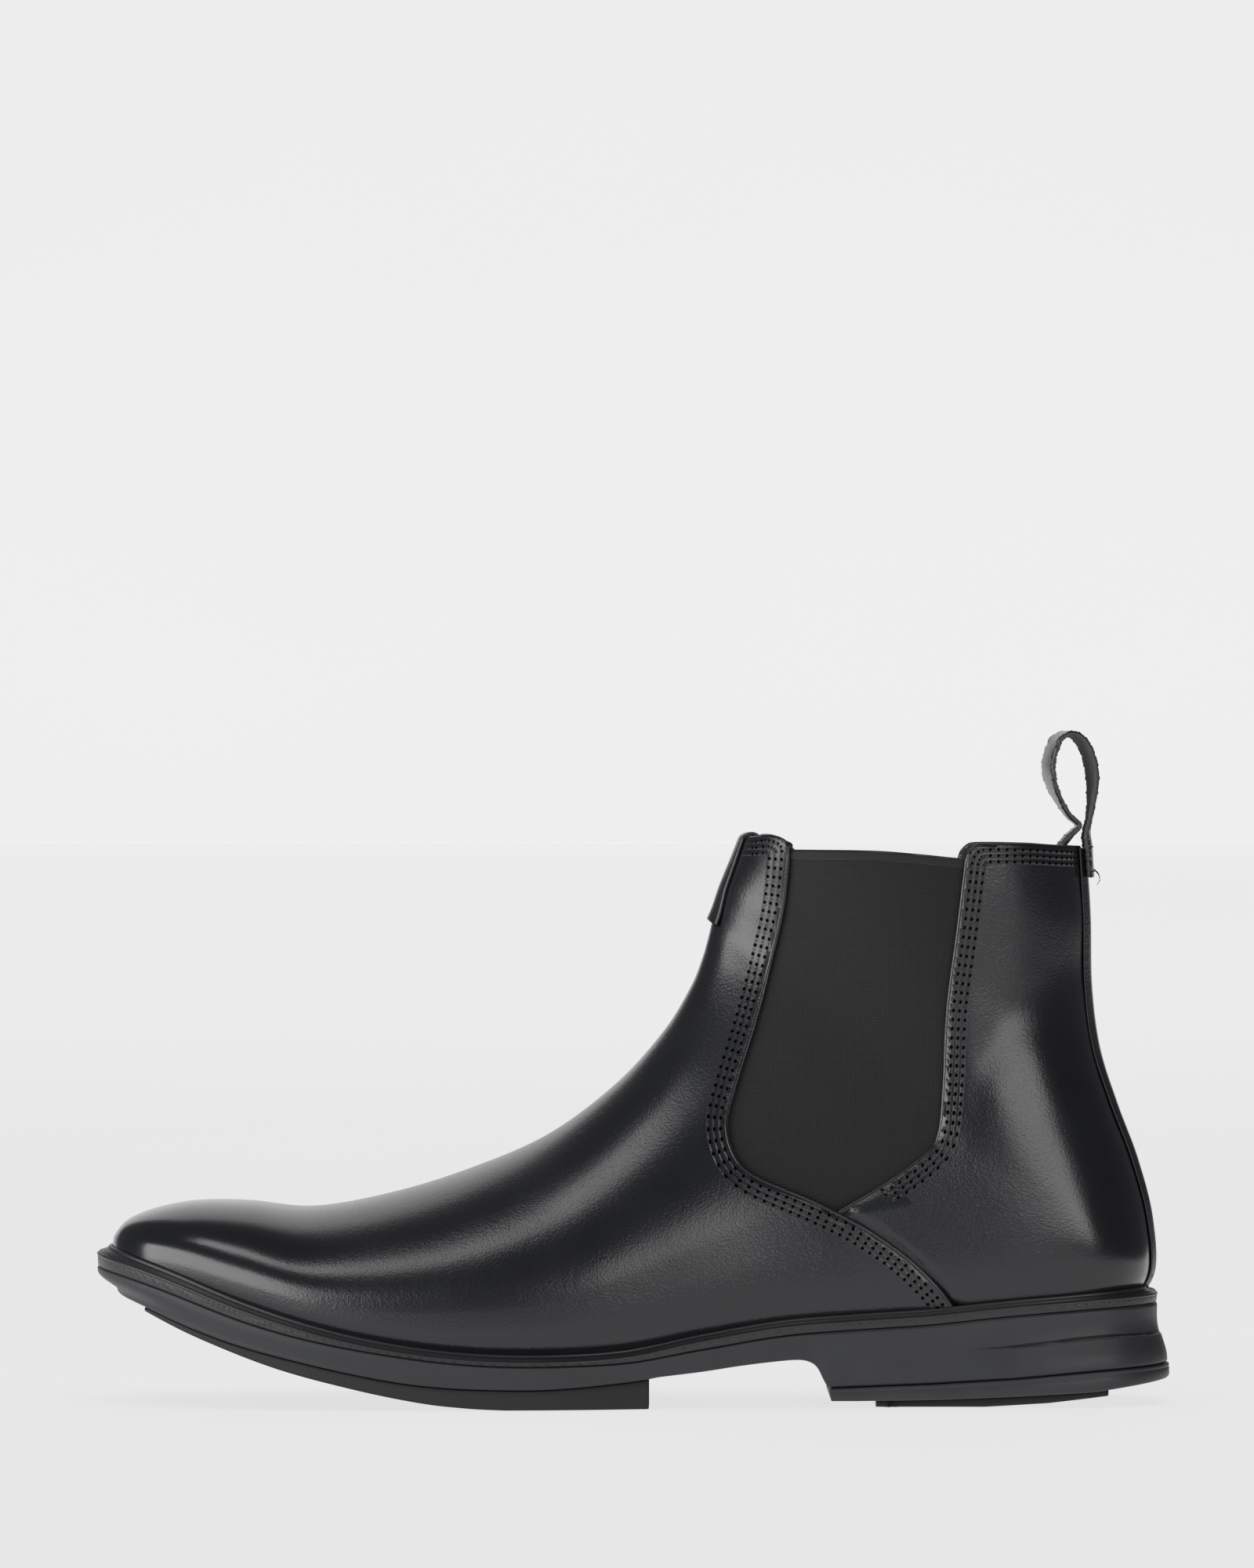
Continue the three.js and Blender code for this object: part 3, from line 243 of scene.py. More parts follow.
# %% Mesh helpers
def make(name, points, faces, material, body="boot", slot=None, ride=True, **attributes):
    """A mesh object from points in the sections' millimetres and one or more face arrays."""
    mesh = bpy.data.meshes.new(name)
    faces = [f for f in (faces if isinstance(faces, list) else [faces]) if len(f)]
    corners = np.concatenate([f.ravel() for f in faces]).astype(np.int32)
    totals = np.concatenate([np.full(len(f), f.shape[1]) for f in faces]).astype(np.int32)
    mesh.vertices.add(len(points))
    mesh.vertices.foreach_set("co", ((points + ORIGIN) * MM).astype(np.float32).ravel())
    mesh.loops.add(len(corners))
    mesh.loops.foreach_set("vertex_index", corners)
    mesh.polygons.add(len(totals))
    mesh.polygons.foreach_set("loop_start", np.concatenate([[0], np.cumsum(totals)[:-1]]).astype(np.int32))
    mesh.polygons.foreach_set("use_smooth", np.ones(len(totals), bool))
    for key, values in attributes.items():
        mesh.attributes.new(key, "FLOAT", "POINT").data.foreach_set("value", np.asarray(values, np.float32))
    mesh.update(calc_edges=True)
    mesh.validate()
    mesh.materials.append(material)
    piece = bpy.data.objects.new(name, mesh)
    bpy.context.collection.objects.link(piece)
    if ride:
        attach(piece, body)
    print(f"{name}: {len(points)} points, {len(totals)} faces")
    return piece


def quads(n, m, wrap=False):
    """Faces of an n by m grid of points; wrap joins the last column to the first."""
    i, j = np.meshgrid(np.arange(n - 1), np.arange(m if wrap else m - 1), indexing="ij")
    k = (j + 1) % m
    return np.stack([i * m + j, (i + 1) * m + j, (i + 1) * m + k, i * m + k], -1).reshape(-1, 4)


def triangles(faces):
    return np.concatenate([faces[:, [0, 1, 2]], faces[:, [0, 2, 3]]])


def clip(data, faces, keep):
    """Cuts triangles along keep = 0. data holds every value of a point in columns and is interpolated."""
    inside = keep[faces] > 0
    count = inside.sum(1)
    turned = lambda mask, first: np.take_along_axis(faces[mask], (first[mask][:, None] + [0, 1, 2]) % 3, 1)
    one, two = turned(count == 1, inside.argmax(1)), turned(count == 2, (~inside).argmax(1))
    edges = np.concatenate([one[:, [0, 1]], one[:, [0, 2]], two[:, [0, 1]], two[:, [0, 2]]])
    pairs, index = np.unique(np.sort(edges, 1), axis=0, return_inverse=True)
    t = (keep[pairs[:, 0]] / (keep[pairs[:, 0]] - keep[pairs[:, 1]]))[:, None]
    data = np.vstack([data, data[pairs[:, 0]] * (1 - t) + data[pairs[:, 1]] * t])
    index = index.ravel() + len(keep)
    a, b, c, d = np.split(index, np.cumsum([len(one), len(one), len(two)]))
    new = ([one[:, 0], a, b], [c, two[:, 1], two[:, 2]], [c, two[:, 2], d])
    faces = np.concatenate([faces[count == 3], *[np.stack(corners, 1) for corners in new]])
    used, faces = np.unique(faces, return_inverse=True)
    return data[used], faces.reshape(-1, 3)


def thicken(outer, inner, faces):
    """A closed solid: the outer sheet, the inner one turned over, and a rim along every open edge."""
    edges = np.concatenate([faces[:, [0, 1]], faces[:, [1, 2]], faces[:, [2, 0]]])
    _, index, count = np.unique(np.sort(edges, 1), axis=0, return_index=True, return_counts=True)
    a, b = edges[index[count == 1]].T
    n = len(outer)
    rim = np.stack([b, a, a + n, b + n], 1)
    return np.vstack([outer, inner]), [np.concatenate([faces, faces[:, ::-1] + n]), rim]


def tube(path, normals, radius, sides=12, squash=1.0):
    """A closed tube: circles in the plane of the surface normal and the direction across the path."""
    along = np.gradient(path, axis=0)
    across = np.cross(along, normals)
    across /= np.linalg.norm(across, axis=1)[:, None]
    angle = np.linspace(0, 2 * math.pi, sides, endpoint=False)
    radius = np.broadcast_to(radius, len(path))[:, None, None]
    ring = np.cos(angle)[:, None] * normals[:, None] * squash + np.sin(angle)[:, None] * across[:, None]
    points = (path[:, None] + radius * ring).reshape(-1, 3)
    n, m = len(path), sides
    points = np.vstack([points, path[:1], path[-1:]])
    j, k = np.arange(m), (np.arange(m) + 1) % m
    start = np.stack([k, j, np.full(m, n * m)], 1)
    end = np.stack([j, k, np.full(m, m + 1)], 1) + (n - 1) * m
    return points, [quads(n, m, True)[:, ::-1], start, end]


def joined(*pieces):
    """Several (points, faces) meshes as one."""
    points, faces, start = [], [], 0
    for p, f in pieces:
        points.append(p)
        faces += [x + start for x in (f if isinstance(f, list) else [f])]
        start += len(p)
    return np.vstack(points), faces


def loft(rings):
    """A closed solid through rings of points, shape (rings, points, 3), with a fan at each end."""
    n, m = rings.shape[:2]
    points = np.vstack([rings.reshape(-1, 3), rings[0].mean(0)[None], rings[-1].mean(0)[None]])
    j, k = np.arange(m), (np.arange(m) + 1) % m
    start = np.stack([np.full(m, n * m), k, j], 1)
    end = np.stack([np.full(m, m + 1), j, k], 1) + (n - 1) * m
    return points, [quads(n, m, True), start, end]


# %% [markdown]
# Shader maths reads best as ordinary expressions. A small class wraps one output socket and turns the
# Python operators into Math nodes. Anything else, such as a noise or a bump, comes from one method.

# %% A socket that can be calculated with
class Value:
    """One socket of a material's node tree."""

    def __init__(self, finish, socket):
        self.finish, self.socket = finish, socket

    def maths(self, operation, *others):
        """A Math node on this socket and the others, which are sockets or numbers."""
        inputs = dict(enumerate((self, *others)))
        return self.finish.node("ShaderNodeMath", {"operation": operation}, inputs)

    def __add__(self, other): return self.maths("ADD", other)
    def __sub__(self, other): return self.maths("SUBTRACT", other)
    def __mul__(self, other): return self.maths("MULTIPLY", other)
    def __truediv__(self, other): return self.maths("DIVIDE", other)
    def __pow__(self, other): return self.maths("POWER", other)
    def __neg__(self): return self.maths("MULTIPLY", -1.0)
    def __rsub__(self, other): return (-self).maths("ADD", other)
    __radd__, __rmul__ = __add__, __mul__

    def band(self, centre, width):
        """A bump of height 1 at centre: 1 / (1 + ((value - centre) / width)^2)^3."""
        near = (self - centre) * (1 / width)
        return (near * near + 1.0) ** -3.0

    def smooth(self, low, high):
        """Smoothstep from 0 at low to 1 at high."""
        return self.finish.node("ShaderNodeMapRange", {"interpolation_type": "SMOOTHSTEP"},
                                {"Value": self, "From Min": low, "From Max": high})


class Finish:
    """A material with one Principled shader, built node by node. Fixed values are set on its sockets."""

    def __init__(self, name, **fixed):
        self.material = bpy.data.materials.new(name)
        self.material.use_nodes = True
        self.tree = self.material.node_tree
        self.tree.nodes.clear()
        self.shader = self.tree.nodes.new("ShaderNodeBsdfPrincipled")
        self.end = self.tree.nodes.new("ShaderNodeOutputMaterial")
        self.tree.links.new(self.shader.outputs[0], self.end.inputs[0])
        for key, value in fixed.items():
            self.shader.inputs[key.replace("_", " ")].default_value = value

    def put(self, socket, value):
        """Links a calculated value to the socket, or sets a plain one on it."""
        if isinstance(value, Value):
            self.tree.links.new(value.socket, socket)
        else:
            socket.default_value = value

    def node(self, kind, settings={}, inputs={}, output=0):
        """Any other node: its settings, what goes into its sockets, and which output is wanted."""
        made = self.tree.nodes.new(kind)
        for key, value in settings.items():
            setattr(made, key, value)
        for key, value in inputs.items():
            self.put(made.inputs[key], value)
        return Value(self, made.outputs[output])

    def place(self, scale=(1, 1, 1), turn=(0, 0, 0)):
        """Object coordinates, stretched and turned."""
        at = self.node("ShaderNodeTexCoord", output="Object")
        return self.node("ShaderNodeMapping", {}, {"Vector": at, "Scale": scale, "Rotation": turn})

    def noise(self, scale, detail=3.0, at=None, **more):
        """Cloudy noise; scale is its number of waves per metre."""
        inputs = {"Vector": at or self.place(), "Scale": scale, "Detail": detail, **more}
        return self.node("ShaderNodeTexNoise", {}, inputs)

    def cells(self, scale):
        """Distance to the nearest of scattered points, scale of them per metre."""
        return self.node("ShaderNodeTexVoronoi", {}, {"Vector": self.place(), "Scale": scale})

    def axis(self, k):
        """One object coordinate in metres: 0 is x, 1 is y, 2 is z."""
        at = self.node("ShaderNodeTexCoord", output="Object")
        return self.node("ShaderNodeSeparateXYZ", {}, {"Vector": at}, output=k)

    def own(self, name):
        """An attribute of the piece."""
        return self.node("ShaderNodeAttribute", {"attribute_name": name}, output="Fac")

    def blend(self, share, low, high):
        """A colour between low and high, each a colour or a calculated one."""
        low, high = (c if isinstance(c, Value) else (*c, 1) for c in (low, high))
        return self.node("ShaderNodeMix", {"data_type": "RGBA"}, {0: share, 6: low, 7: high}, output=2)

    def relief(self, height, depth, strength=1.0, under=None):
        """Bump of the given depth in metres."""
        inputs = {"Height": height, "Distance": depth, "Strength": strength}
        if under:
            inputs["Normal"] = under
        return self.node("ShaderNodeBump", {}, inputs)

    def sunk(self, share):
        """Where share is 1 the surface is painted black with nothing mirrored: painted shade for the inside of
        a needle hole.
        """
        dark = self.node("ShaderNodeBsdfDiffuse", {}, {"Color": (0.0008, 0.0008, 0.0008, 1)})
        leather_face = Value(self, self.shader.outputs[0])
        self.put(self.end.inputs[0], self.node("ShaderNodeMixShader", {}, {0: share, 1: leather_face, 2: dark}))

    def set(self, **links):
        """Fills the shader's sockets and gives the finished material."""
        for key, value in links.items():
            self.put(self.shader.inputs[key.replace("_", " ")], value)
        return self.material


# %% [markdown]
# The upper is calf with a fine pebbled grain, waxed and brushed to a soft shine. The grain is two sizes of
# cell noise in the bump; broad noise moves the roughness, as polish does. Along the seams two attributes of
# the mesh, the distance from the edge and the length along it, place the rows of needle holes and the
# groove that each row pulls into the leather.

# %% Leather finishes
ROWS = (2.0, 3.7, 5.4)  # stitch rows, mm from the folded edge
PITCH = 2.6  # mm from hole to hole
HOLE = 0.3  # a hole's half length, as a share of the pitch
GROOVE = 0.66  # half width of the groove that a row pulls, mm
BLACK = (0.0105, 0.0112, 0.0135)


def shades(colour, low, high):
    """A darker and a lighter version of a colour."""
    return [c * low for c in colour], [c * high for c in colour]


def leather(name, colour, gloss):
    """Pebbled grain leather, burnished smooth at toe and heel, with stitch rows beside its edges."""
    f = Finish(name, Coat_Roughness=0.2, Coat_IOR=1.5, IOR=1.5)
    pores = f.cells(1700)
    pebbles = f.noise(1300, 2.0, Distortion=0.5)
    folds = f.noise(380, 3.0, at=f.place((1, 1, 0.55), (0, 0.5, 0)))
    broad = f.noise(28, 2.0)
    x = f.axis(0)
    burnished = x.smooth(-0.075, -0.115) + x.smooth(0.105, 0.14)
    height = (pores * 0.45 + pebbles * 0.8 + folds * 0.7) * (1 - burnished * 0.7)
    grain = f.relief(height, 0.00016, 0.45)
    off, along = f.own("seam_off"), f.own("seam_along")
    step = (along * (1 / PITCH)).maths("FRACT") - 0.5
    pull = sum((off.band(row, GROOVE) for row in ROWS[1:]), off.band(ROWS[0], GROOVE))
    hole = pull.maths("MINIMUM", 1.0) * step.band(0, HOLE)
    hole = ((hole - 0.2) * 2.6).maths("MINIMUM", 1.0).maths("MAXIMUM", 0.0)
    edge = off.smooth(ROWS[-1] + 1.6, ROWS[-1] + 0.2)
    relief = f.relief(pull * -0.55 - hole * 1.4 + edge * 0.12, 0.00035, 0.9, grain)
    # the needle holes are painted black: painted shade standing in for their dark insides
    f.sunk(hole)
    rough = broad * 0.14 + (gloss - 0.08) + pores * 0.04 - burnished * 0.06
    return f.set(Base_Color=f.blend(f.noise(60, 2.0), *shades(colour, 0.8, 1.25)), Roughness=rough,
                 Normal=relief, Coat_Weight=0.35 - broad * 0.1)


calf = leather("polished_calf", BLACK, 0.25)


def thread_finish():
    """Waxed black thread: fine twisted ribs across each stitch."""
    f = Finish("waxed_thread", IOR=1.45)
    twist = f.noise(2400, 2.0)
    paint = f.blend(twist, (0.003, 0.003, 0.004), (0.012, 0.012, 0.013))
    return f.set(Base_Color=paint, Roughness=0.45 + twist * 0.15, Normal=f.relief(twist, 0.0001, 0.6))


thread = thread_finish()

# %% [markdown]
# The vamp is one piece from the toe to the collar's front. Its rear edge runs down round the elastic and on
# to the sole, lying over the quarter. The surface is sampled over the whole last and clipped to the vamp's
# outline, a fold's radius short of the edge; a rolled edge then finishes it, as a folded leather edge looks.

# %% Sheets of leather
ROLL = 0.72  # radius of a folded edge


def dents(p):
    """Soft hollows and swells of worn leather: a few broad waves, a fraction of a millimetre high."""
    x, z = p[..., 0], p[..., 2]
    wave = 0.25 * np.sin(x / 17 + z / 23 + 1) + 0.2 * np.sin(x / 11 - z / 31)
    crease = -0.5 * np.exp(-(((z - 106) - 0.75 * (x - 104)) / 10) ** 2 - ((x - 106) / 22) ** 2)
    swell = 0.5 * np.exp(-((x - 106) / 14) ** 2 - ((z - 78) / 20) ** 2)
    shaft = np.clip((z - 30) / 30, 0, 1) * np.clip((150 - z) / 12, 0, 1)
    return (wave * 0.5 + crease + swell) * shaft * np.clip((x - 20) / 40, 0, 1)


def sheet(s_range, angles, sides):
    """A grid over one or both sides of the last: section numbers, angles, sides and triangles."""
    s = np.linspace(*s_range)
    if len(sides) == 2:  # a whole ring, down one side and up the other
        angle = np.concatenate([angles, angles[-2:0:-1]])
        side = np.concatenate([np.full(len(angles), -1.0), np.full(len(angles) - 2, 1.0)])
    else:
        angle, side = angles, np.full(len(angles), float(sides[0]))
    s, angle = np.meshgrid(s, angle, indexing="ij")
    side = np.broadcast_to(side, s.shape)
    faces = quads(*s.shape, wrap=len(sides) == 2)
    if sides[0] > 0:
        faces = faces[:, ::-1]
    return s.ravel(), angle.ravel(), side.ravel(), triangles(faces)


def spread(count):
    """Angles 0 to pi, closer together at the widest point."""
    t = np.linspace(-1, 1, count)
    return math.pi / 2 * (1 + np.sign(t) * np.abs(t) ** 1.15)


VAMP_LINE, QUARTER_LINE = extended(VAMP_EDGE), extended(QUARTER_EDGE)
VAMP_SEAM = np.vstack([VAMP_TOP, VAMP_EDGE])
QUARTER_SEAM = np.vstack([QUARTER_TOP[::-1], QUARTER_EDGE])
LAP = 0.9  # how far the vamp stands up over the quarter
TURNED_IN = 6  # how far the leather runs on below the welt line
SHAFT_RANGE = (31.5, 126.3)  # x between the front and the back of the shaft, where side view is one to one


def true_length(seam, side=-1.0):
    """Turns a length along a side-view seam into the length on the surface, which also runs in y."""
    run = np.concatenate([[0], np.cumsum(np.hypot(*np.diff(seam, axis=0).T))])
    inside = (seam[:, 0] > SHAFT_RANGE[0]) & (seam[:, 0] < SHAFT_RANGE[1])
    points = upper(*at_side(seam[inside]), side)
    length = np.concatenate([[0], np.cumsum(np.linalg.norm(np.diff(points, axis=0), axis=1))])
    return lambda r: np.interp(r, run[inside], length)


vamp_length, quarter_length = true_length(VAMP_SEAM), true_length(QUARTER_SEAM)


def lap(x, z, off):
    """How far the vamp stands up where it lies over the quarter, below the elastic: 1 at the edge, 0 inside."""
    low = np.clip((62 - z) / 8, 0, 1) * np.clip((x - 50) / 12, 0, 1)
    return low * np.clip(1 - off / 14, 0, 1) ** 2


def above(line, p, spare=0.0):
    """Height of points above a side-view line, less spare."""
    return p[:, 2] - height(line, p[:, 0]) - spare


def trimmed(data, faces, first):
    """The sheet clipped where any data column from first on is negative."""
    for k in range(first, data.shape[1]):
        data, faces = clip(data, faces, data[:, k])
    return data, faces


def folded_piece(name, data, faces, roll):
    """A leather piece: the cut sheet made solid, its rolled edge, and its seam columns 6 and 7."""
    points, faces = joined(thicken(data[:, :3], data[:, 3:6], faces), roll)
    off = np.concatenate([np.tile(data[:, 6], 2), np.full(len(roll[0]), 0.3)])
    along = np.concatenate([np.tile(data[:, 7], 2), np.zeros(len(roll[0]))])
    return make(name, points, faces, calf, slot="upper_leather", seam_off=off, seam_along=along)


def build_vamp():
    s, angle, side, faces = sheet((0, LAST, 300), spread(86), (-1, 1))
    p = upper(s, angle, side)
    rear = -beside(VAMP_LINE, p[:, 0], p[:, 2])[0]
    lift = LAP * lap(p[:, 0], p[:, 2], np.maximum(rear, 0))
    sheets = [upper(s, angle, side, lift + d) for d in (0, LEATHER_IN)]
    off, along = beside(VAMP_SEAM, p[:, 0], p[:, 2])
    data = np.column_stack([*sheets, np.abs(off), vamp_length(along), rear - ROLL,
                            -above(VAMP_TOP, p, -ROLL), above(WELT_LINE, p, -TURNED_IN)])
    return trimmed(data, faces, 8)


vamp_data, vamp_faces = build_vamp()
print("vamp sheet:", len(vamp_faces), "triangles")


# %% [markdown]
# A folded edge is a tube tangent to the leather's face, so that the face rolls over smoothly. Where the
# collar crosses the ridge in front, side view can't tell one side from the other, so there the line is
# found by its height along fixed angles instead.

# %% Rolled edges
def at_height(angle, side, top, drop, low=11.0):
    """Section number at which the surface at this angle reaches the top line less drop."""
    def under(s):
        return -above(top, upper(s, angle, side), -drop)

    return bisect(np.full(len(angle), low), np.full(len(angle), float(LAST)), under)


def with_normals(point, *place, offset):
    """Points and unit normals of a function of some places and an offset, from two nearby offsets."""
    p = point(*place, offset)
    n = p - point(*place, offset - 1)
    return p, n / np.linalg.norm(n, axis=1)[:, None]


def along_side(line, side, offset):
    """Points and normals of the upper under a side-view line."""
    return with_normals(upper, *at_side(line), side, offset=offset)


def resampled(p, n, step):
    """Points and normals at even steps along the path."""
    run = np.concatenate([[0], np.cumsum(np.linalg.norm(np.diff(p, axis=0), axis=1))])
    t = np.arange(0, run[-1] + 1e-6, step)
    take = lambda v: np.stack([np.interp(t, run, v[:, k]) for k in range(3)], 1)
    n = take(n)
    return take(p), n / np.linalg.norm(n, axis=1)[:, None]


def vamp_half(inset, offset, side, lifted=0.0):
    """The vamp's free edge on one side, from the collar's front down to the sole."""
    edge = moved(np.vstack([VAMP_TOP[40:], VAMP_EDGE[2:]]), -inset)
    angle = np.linspace(0, 1.2, 60)
    s = at_height(angle, side, VAMP_TOP, inset)
    p, n = with_normals(upper, s, angle, side, offset=offset)
    front = p[:, 0] < edge[0, 0]
    q, m = along_side(edge, side, offset + lifted * lap(edge[:, 0], edge[:, 1], inset))
    return np.vstack([p[front], q]), np.vstack([n[front], m])


def vamp_outline(inset, offset, lifted=0.0):
    """The vamp's free edge on both sides, over the front of the collar: points and normals."""
    (p0, n0), (p1, n1) = (vamp_half(inset, offset, side, lifted) for side in (-1.0, 1.0))
    return np.vstack([p0[::-1], p1[1:]]), np.vstack([n0[::-1], n1[1:]])


def quarter_outline(inset, offset, side):
    """A quarter's free edge: along the collar from the back, round the corner and down beside the elastic."""
    edge = moved(np.vstack([QUARTER_TOP[24::-1], QUARTER_EDGE[1:]]), inset)
    angle = np.linspace(math.pi, math.pi - 1.35, 60)
    s = at_height(angle, side, QUARTER_TOP, inset, low=14.0)
    p, n = with_normals(upper, s, angle, side, offset=offset)
    back = p[:, 0] > edge[0, 0]
    q, m = along_side(edge, side, offset)
    return np.vstack([p[back], q]), np.vstack([n[back], m])


def rolled(p, n):
    """A folded edge along a path: a tube of the fold's radius."""
    return tube(*resampled(p, n, 0.8), ROLL, 14)


vamp = folded_piece("vamp_leather", vamp_data, vamp_faces, rolled(*vamp_outline(ROLL, -ROLL, LAP)))
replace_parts(vamp, "vamp")

# %% [markdown]
# The quarters are the two sides of the heel and shaft, seamed at the back. In front each has a folded edge
# beside the elastic; lower down it runs on under the vamp and dips there.

# %% Quarters
SIDE_NAME = {-1.0: "outer", 1.0: "inner"}
UNDER_VAMP = 3.5  # how far the quarter runs on under the vamp
UNSTITCHED = 30.0  # a distance from the seam at which no stitch row shows


def build_quarter(side):
    """One quarter: leather with soft dents, dipped under the vamp and folded beside the elastic."""
    s, angle, side_, faces = sheet((9.5, LAST, 200), np.linspace(0.7, math.pi, 110), (side,))
    p = upper(s, angle, side_)
    under = beside(VAMP_LINE, p[:, 0], p[:, 2])[0]
    low = np.clip((66 - p[:, 2]) / 8, 0, 1)
    dip = -LAP * np.clip(1 - (under - 0.6) / 2.2, 0, 1) ** 2 * low
    off, along = beside(QUARTER_SEAM, p[:, 0], p[:, 2])
    clear = np.clip((np.minimum(np.abs(off), under) - 6) / 9, 0, 1)
    soft = dents(p) * clear * clear * (3 - 2 * clear) * np.clip((138 - p[:, 0]) / 8, 0, 1)
    sheets = [upper(s, angle, side_, dip + soft + d) for d in (0, LEATHER_IN)]
    over_lap = beside(VAMP_EDGE, p[:, 0], p[:, 2])[0]
    off = np.where((p[:, 2] < 60) & (over_lap < 9), UNSTITCHED, np.abs(off))
    own = beside(QUARTER_LINE, p[:, 0], p[:, 2])[0]
    data = np.column_stack([*sheets, off, quarter_length(along), own - ROLL, under + UNDER_VAMP,
                            -above(QUARTER_TOP, p, -ROLL), above(WELT_LINE, p, -TURNED_IN)])
    data, faces = trimmed(data, faces, 8)
    p, n = quarter_outline(ROLL, -ROLL, side)
    keep = np.cumsum(beside(VAMP_LINE, p[:, 0], p[:, 2])[0] < -1.5) < 1
    piece = folded_piece(f"quarter_leather_{SIDE_NAME[side]}", data, faces, rolled(p[keep], n[keep]))
    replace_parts(piece, f"quarter_{SIDE_NAME[side]}")
    return piece


quarters = [build_quarter(side) for side in SIDE_NAME]
print("quarters:", [q.name for q in quarters])

# %% [markdown]
# Elastic webbing fills the gap between vamp and quarter, so the foot can pass. Rubber yarns run up and down
# and the covering yarns cross them, which leaves a fine grid of wales and ribs. Its top is turned into a
# narrow hem. The weave is far finer than any mesh, so it is relief and colour in the finish, the colour
# darkened between the yarns as painted shade.

# %% Elastic webbing
WALE, RIB = 0.00058, 0.00072  # spacing of the yarns up and across, in metres
ELASTIC_OUT, ELASTIC_IN = -1.6, -2.7  # the webbing's two faces
UNDERLAP = 5  # how far it runs under the leather on each side


def webbing(name, tone, wale_depth=1.0):
    """Woven webbing: sine waves across x are the wales and across z the ribs, both slightly uneven."""
    f = Finish(name, IOR=1.45, Sheen_Weight=0.12, Sheen_Roughness=0.5)
    wobble = f.noise(220, 2.0) * 0.00022
    wales = ((f.axis(0) + wobble) * (2 * math.pi / WALE)).maths("SINE")
    ribs = ((f.axis(2) + wobble + wales * 0.00004) * (2 * math.pi / RIB)).maths("SINE")
    weave = (wales * wale_depth * 0.5 + 0.5) * 0.36 + (ribs * 0.5 + 0.5) * 0.64
    fuzz = f.noise(3000, 2.0)
    # colour follows the weave's height: darker in the hollows between the yarns, a painted shade
    paint = f.blend(weave * 0.75 + fuzz * 0.25, *shades(tone, 0.12, 1.75))
    relief = f.relief(weave + fuzz * 0.3, 0.0003, 0.8)
    return f.set(Base_Color=paint, Roughness=0.78 + fuzz * 0.1, Normal=relief)


elastic = webbing("elastic_webbing", (0.0105, 0.011, 0.0122))
hem_tape = webbing("hem_tape", (0.019, 0.0195, 0.021), wale_depth=0.4)


def build_gusset(side):
    """One elastic and its hem. The elastic is cut flat, so its flat size is its own, held stretched."""
    name = SIDE_NAME[side]
    s, angle, side_, faces = sheet((9.4, LAST, 170), np.linspace(0.5, math.pi - 0.45, 100), (side,))
    p = upper(s, angle, side_)
    sheets = [upper(s, angle, side_, d) for d in (ELASTIC_OUT, ELASTIC_IN)]
    front = beside(VAMP_LINE, p[:, 0], p[:, 2])[0] + UNDERLAP
    rear = UNDERLAP - beside(QUARTER_LINE, p[:, 0], p[:, 2])[0]
    data, faces = trimmed(np.column_stack([*sheets, front, rear, -above(GUSSET_TOP, p)]), faces, 6)
    piece = make(f"elastic_{name}", *thicken(data[:, :3], data[:, 3:6], faces), elastic, slot="elastic")
    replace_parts(piece, f"gusset_{name}")
    a, b, c = (data[faces[:, k], :3] * MM for k in range(3))
    area = np.linalg.norm(np.cross(b - a, c - a), axis=1).sum() / 2
    curved = 1.03  # a curved sheet is a little wider and longer than its box
    flat = np.ptp(data[:, 0]) * curved * MM, np.ptp(data[:, 2]) * curved * MM
    print(piece.name, "flat size (m):", np.round(flat, 4), "area (m2):", round(float(area), 5))
    line = GUSSET_TOP[(GUSSET_TOP[:, 0] > 38) & (GUSSET_TOP[:, 0] < 98)] - [0, 1.05]
    hem = tube(*resampled(*along_side(line, side, -2.05), 0.7), 1.25, 14, 0.62)
    tape = make(f"elastic_hem_{name}", *hem, hem_tape, slot="tape")
    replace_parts(tape, f"gusset_tape_{name}")
    return piece


gussets = [build_gusset(side) for side in SIDE_NAME]
print("elastic pieces:", [g.name for g in gussets])

# %% [markdown]
# The lining is pigskin on thin foam, closed at the collar over the leather's turned edge. It shows only
# inside the collar. The footbed is a thin leather-covered pad that lies in the bottom of the boot.

# %% Lining and footbed


def suede(name, low, high, scale=900, depth=0.00025):
    """Matt skin or felt: short fibres in the relief, cloudy colour."""
    f = Finish(name, IOR=1.45, Sheen_Weight=0.15, Sheen_Roughness=0.6)
    fibre = f.noise(scale, 4.0, Distortion=0.8)
    cloud = f.noise(90, 3.0)
    return f.set(Base_Color=f.blend(fibre * 0.5 + cloud * 0.5, low, high), Roughness=0.72 + fibre * 0.2,
                 Normal=f.relief(fibre, depth, 0.7))


lining = suede("pigskin_lining", (0.012, 0.010, 0.009), (0.035, 0.030, 0.026))
pad_cover = suede("footbed_leather", (0.016, 0.013, 0.011), (0.05, 0.042, 0.034), 700)
COLLAR_DROP = 1.1  # how far the lining ends below the collar


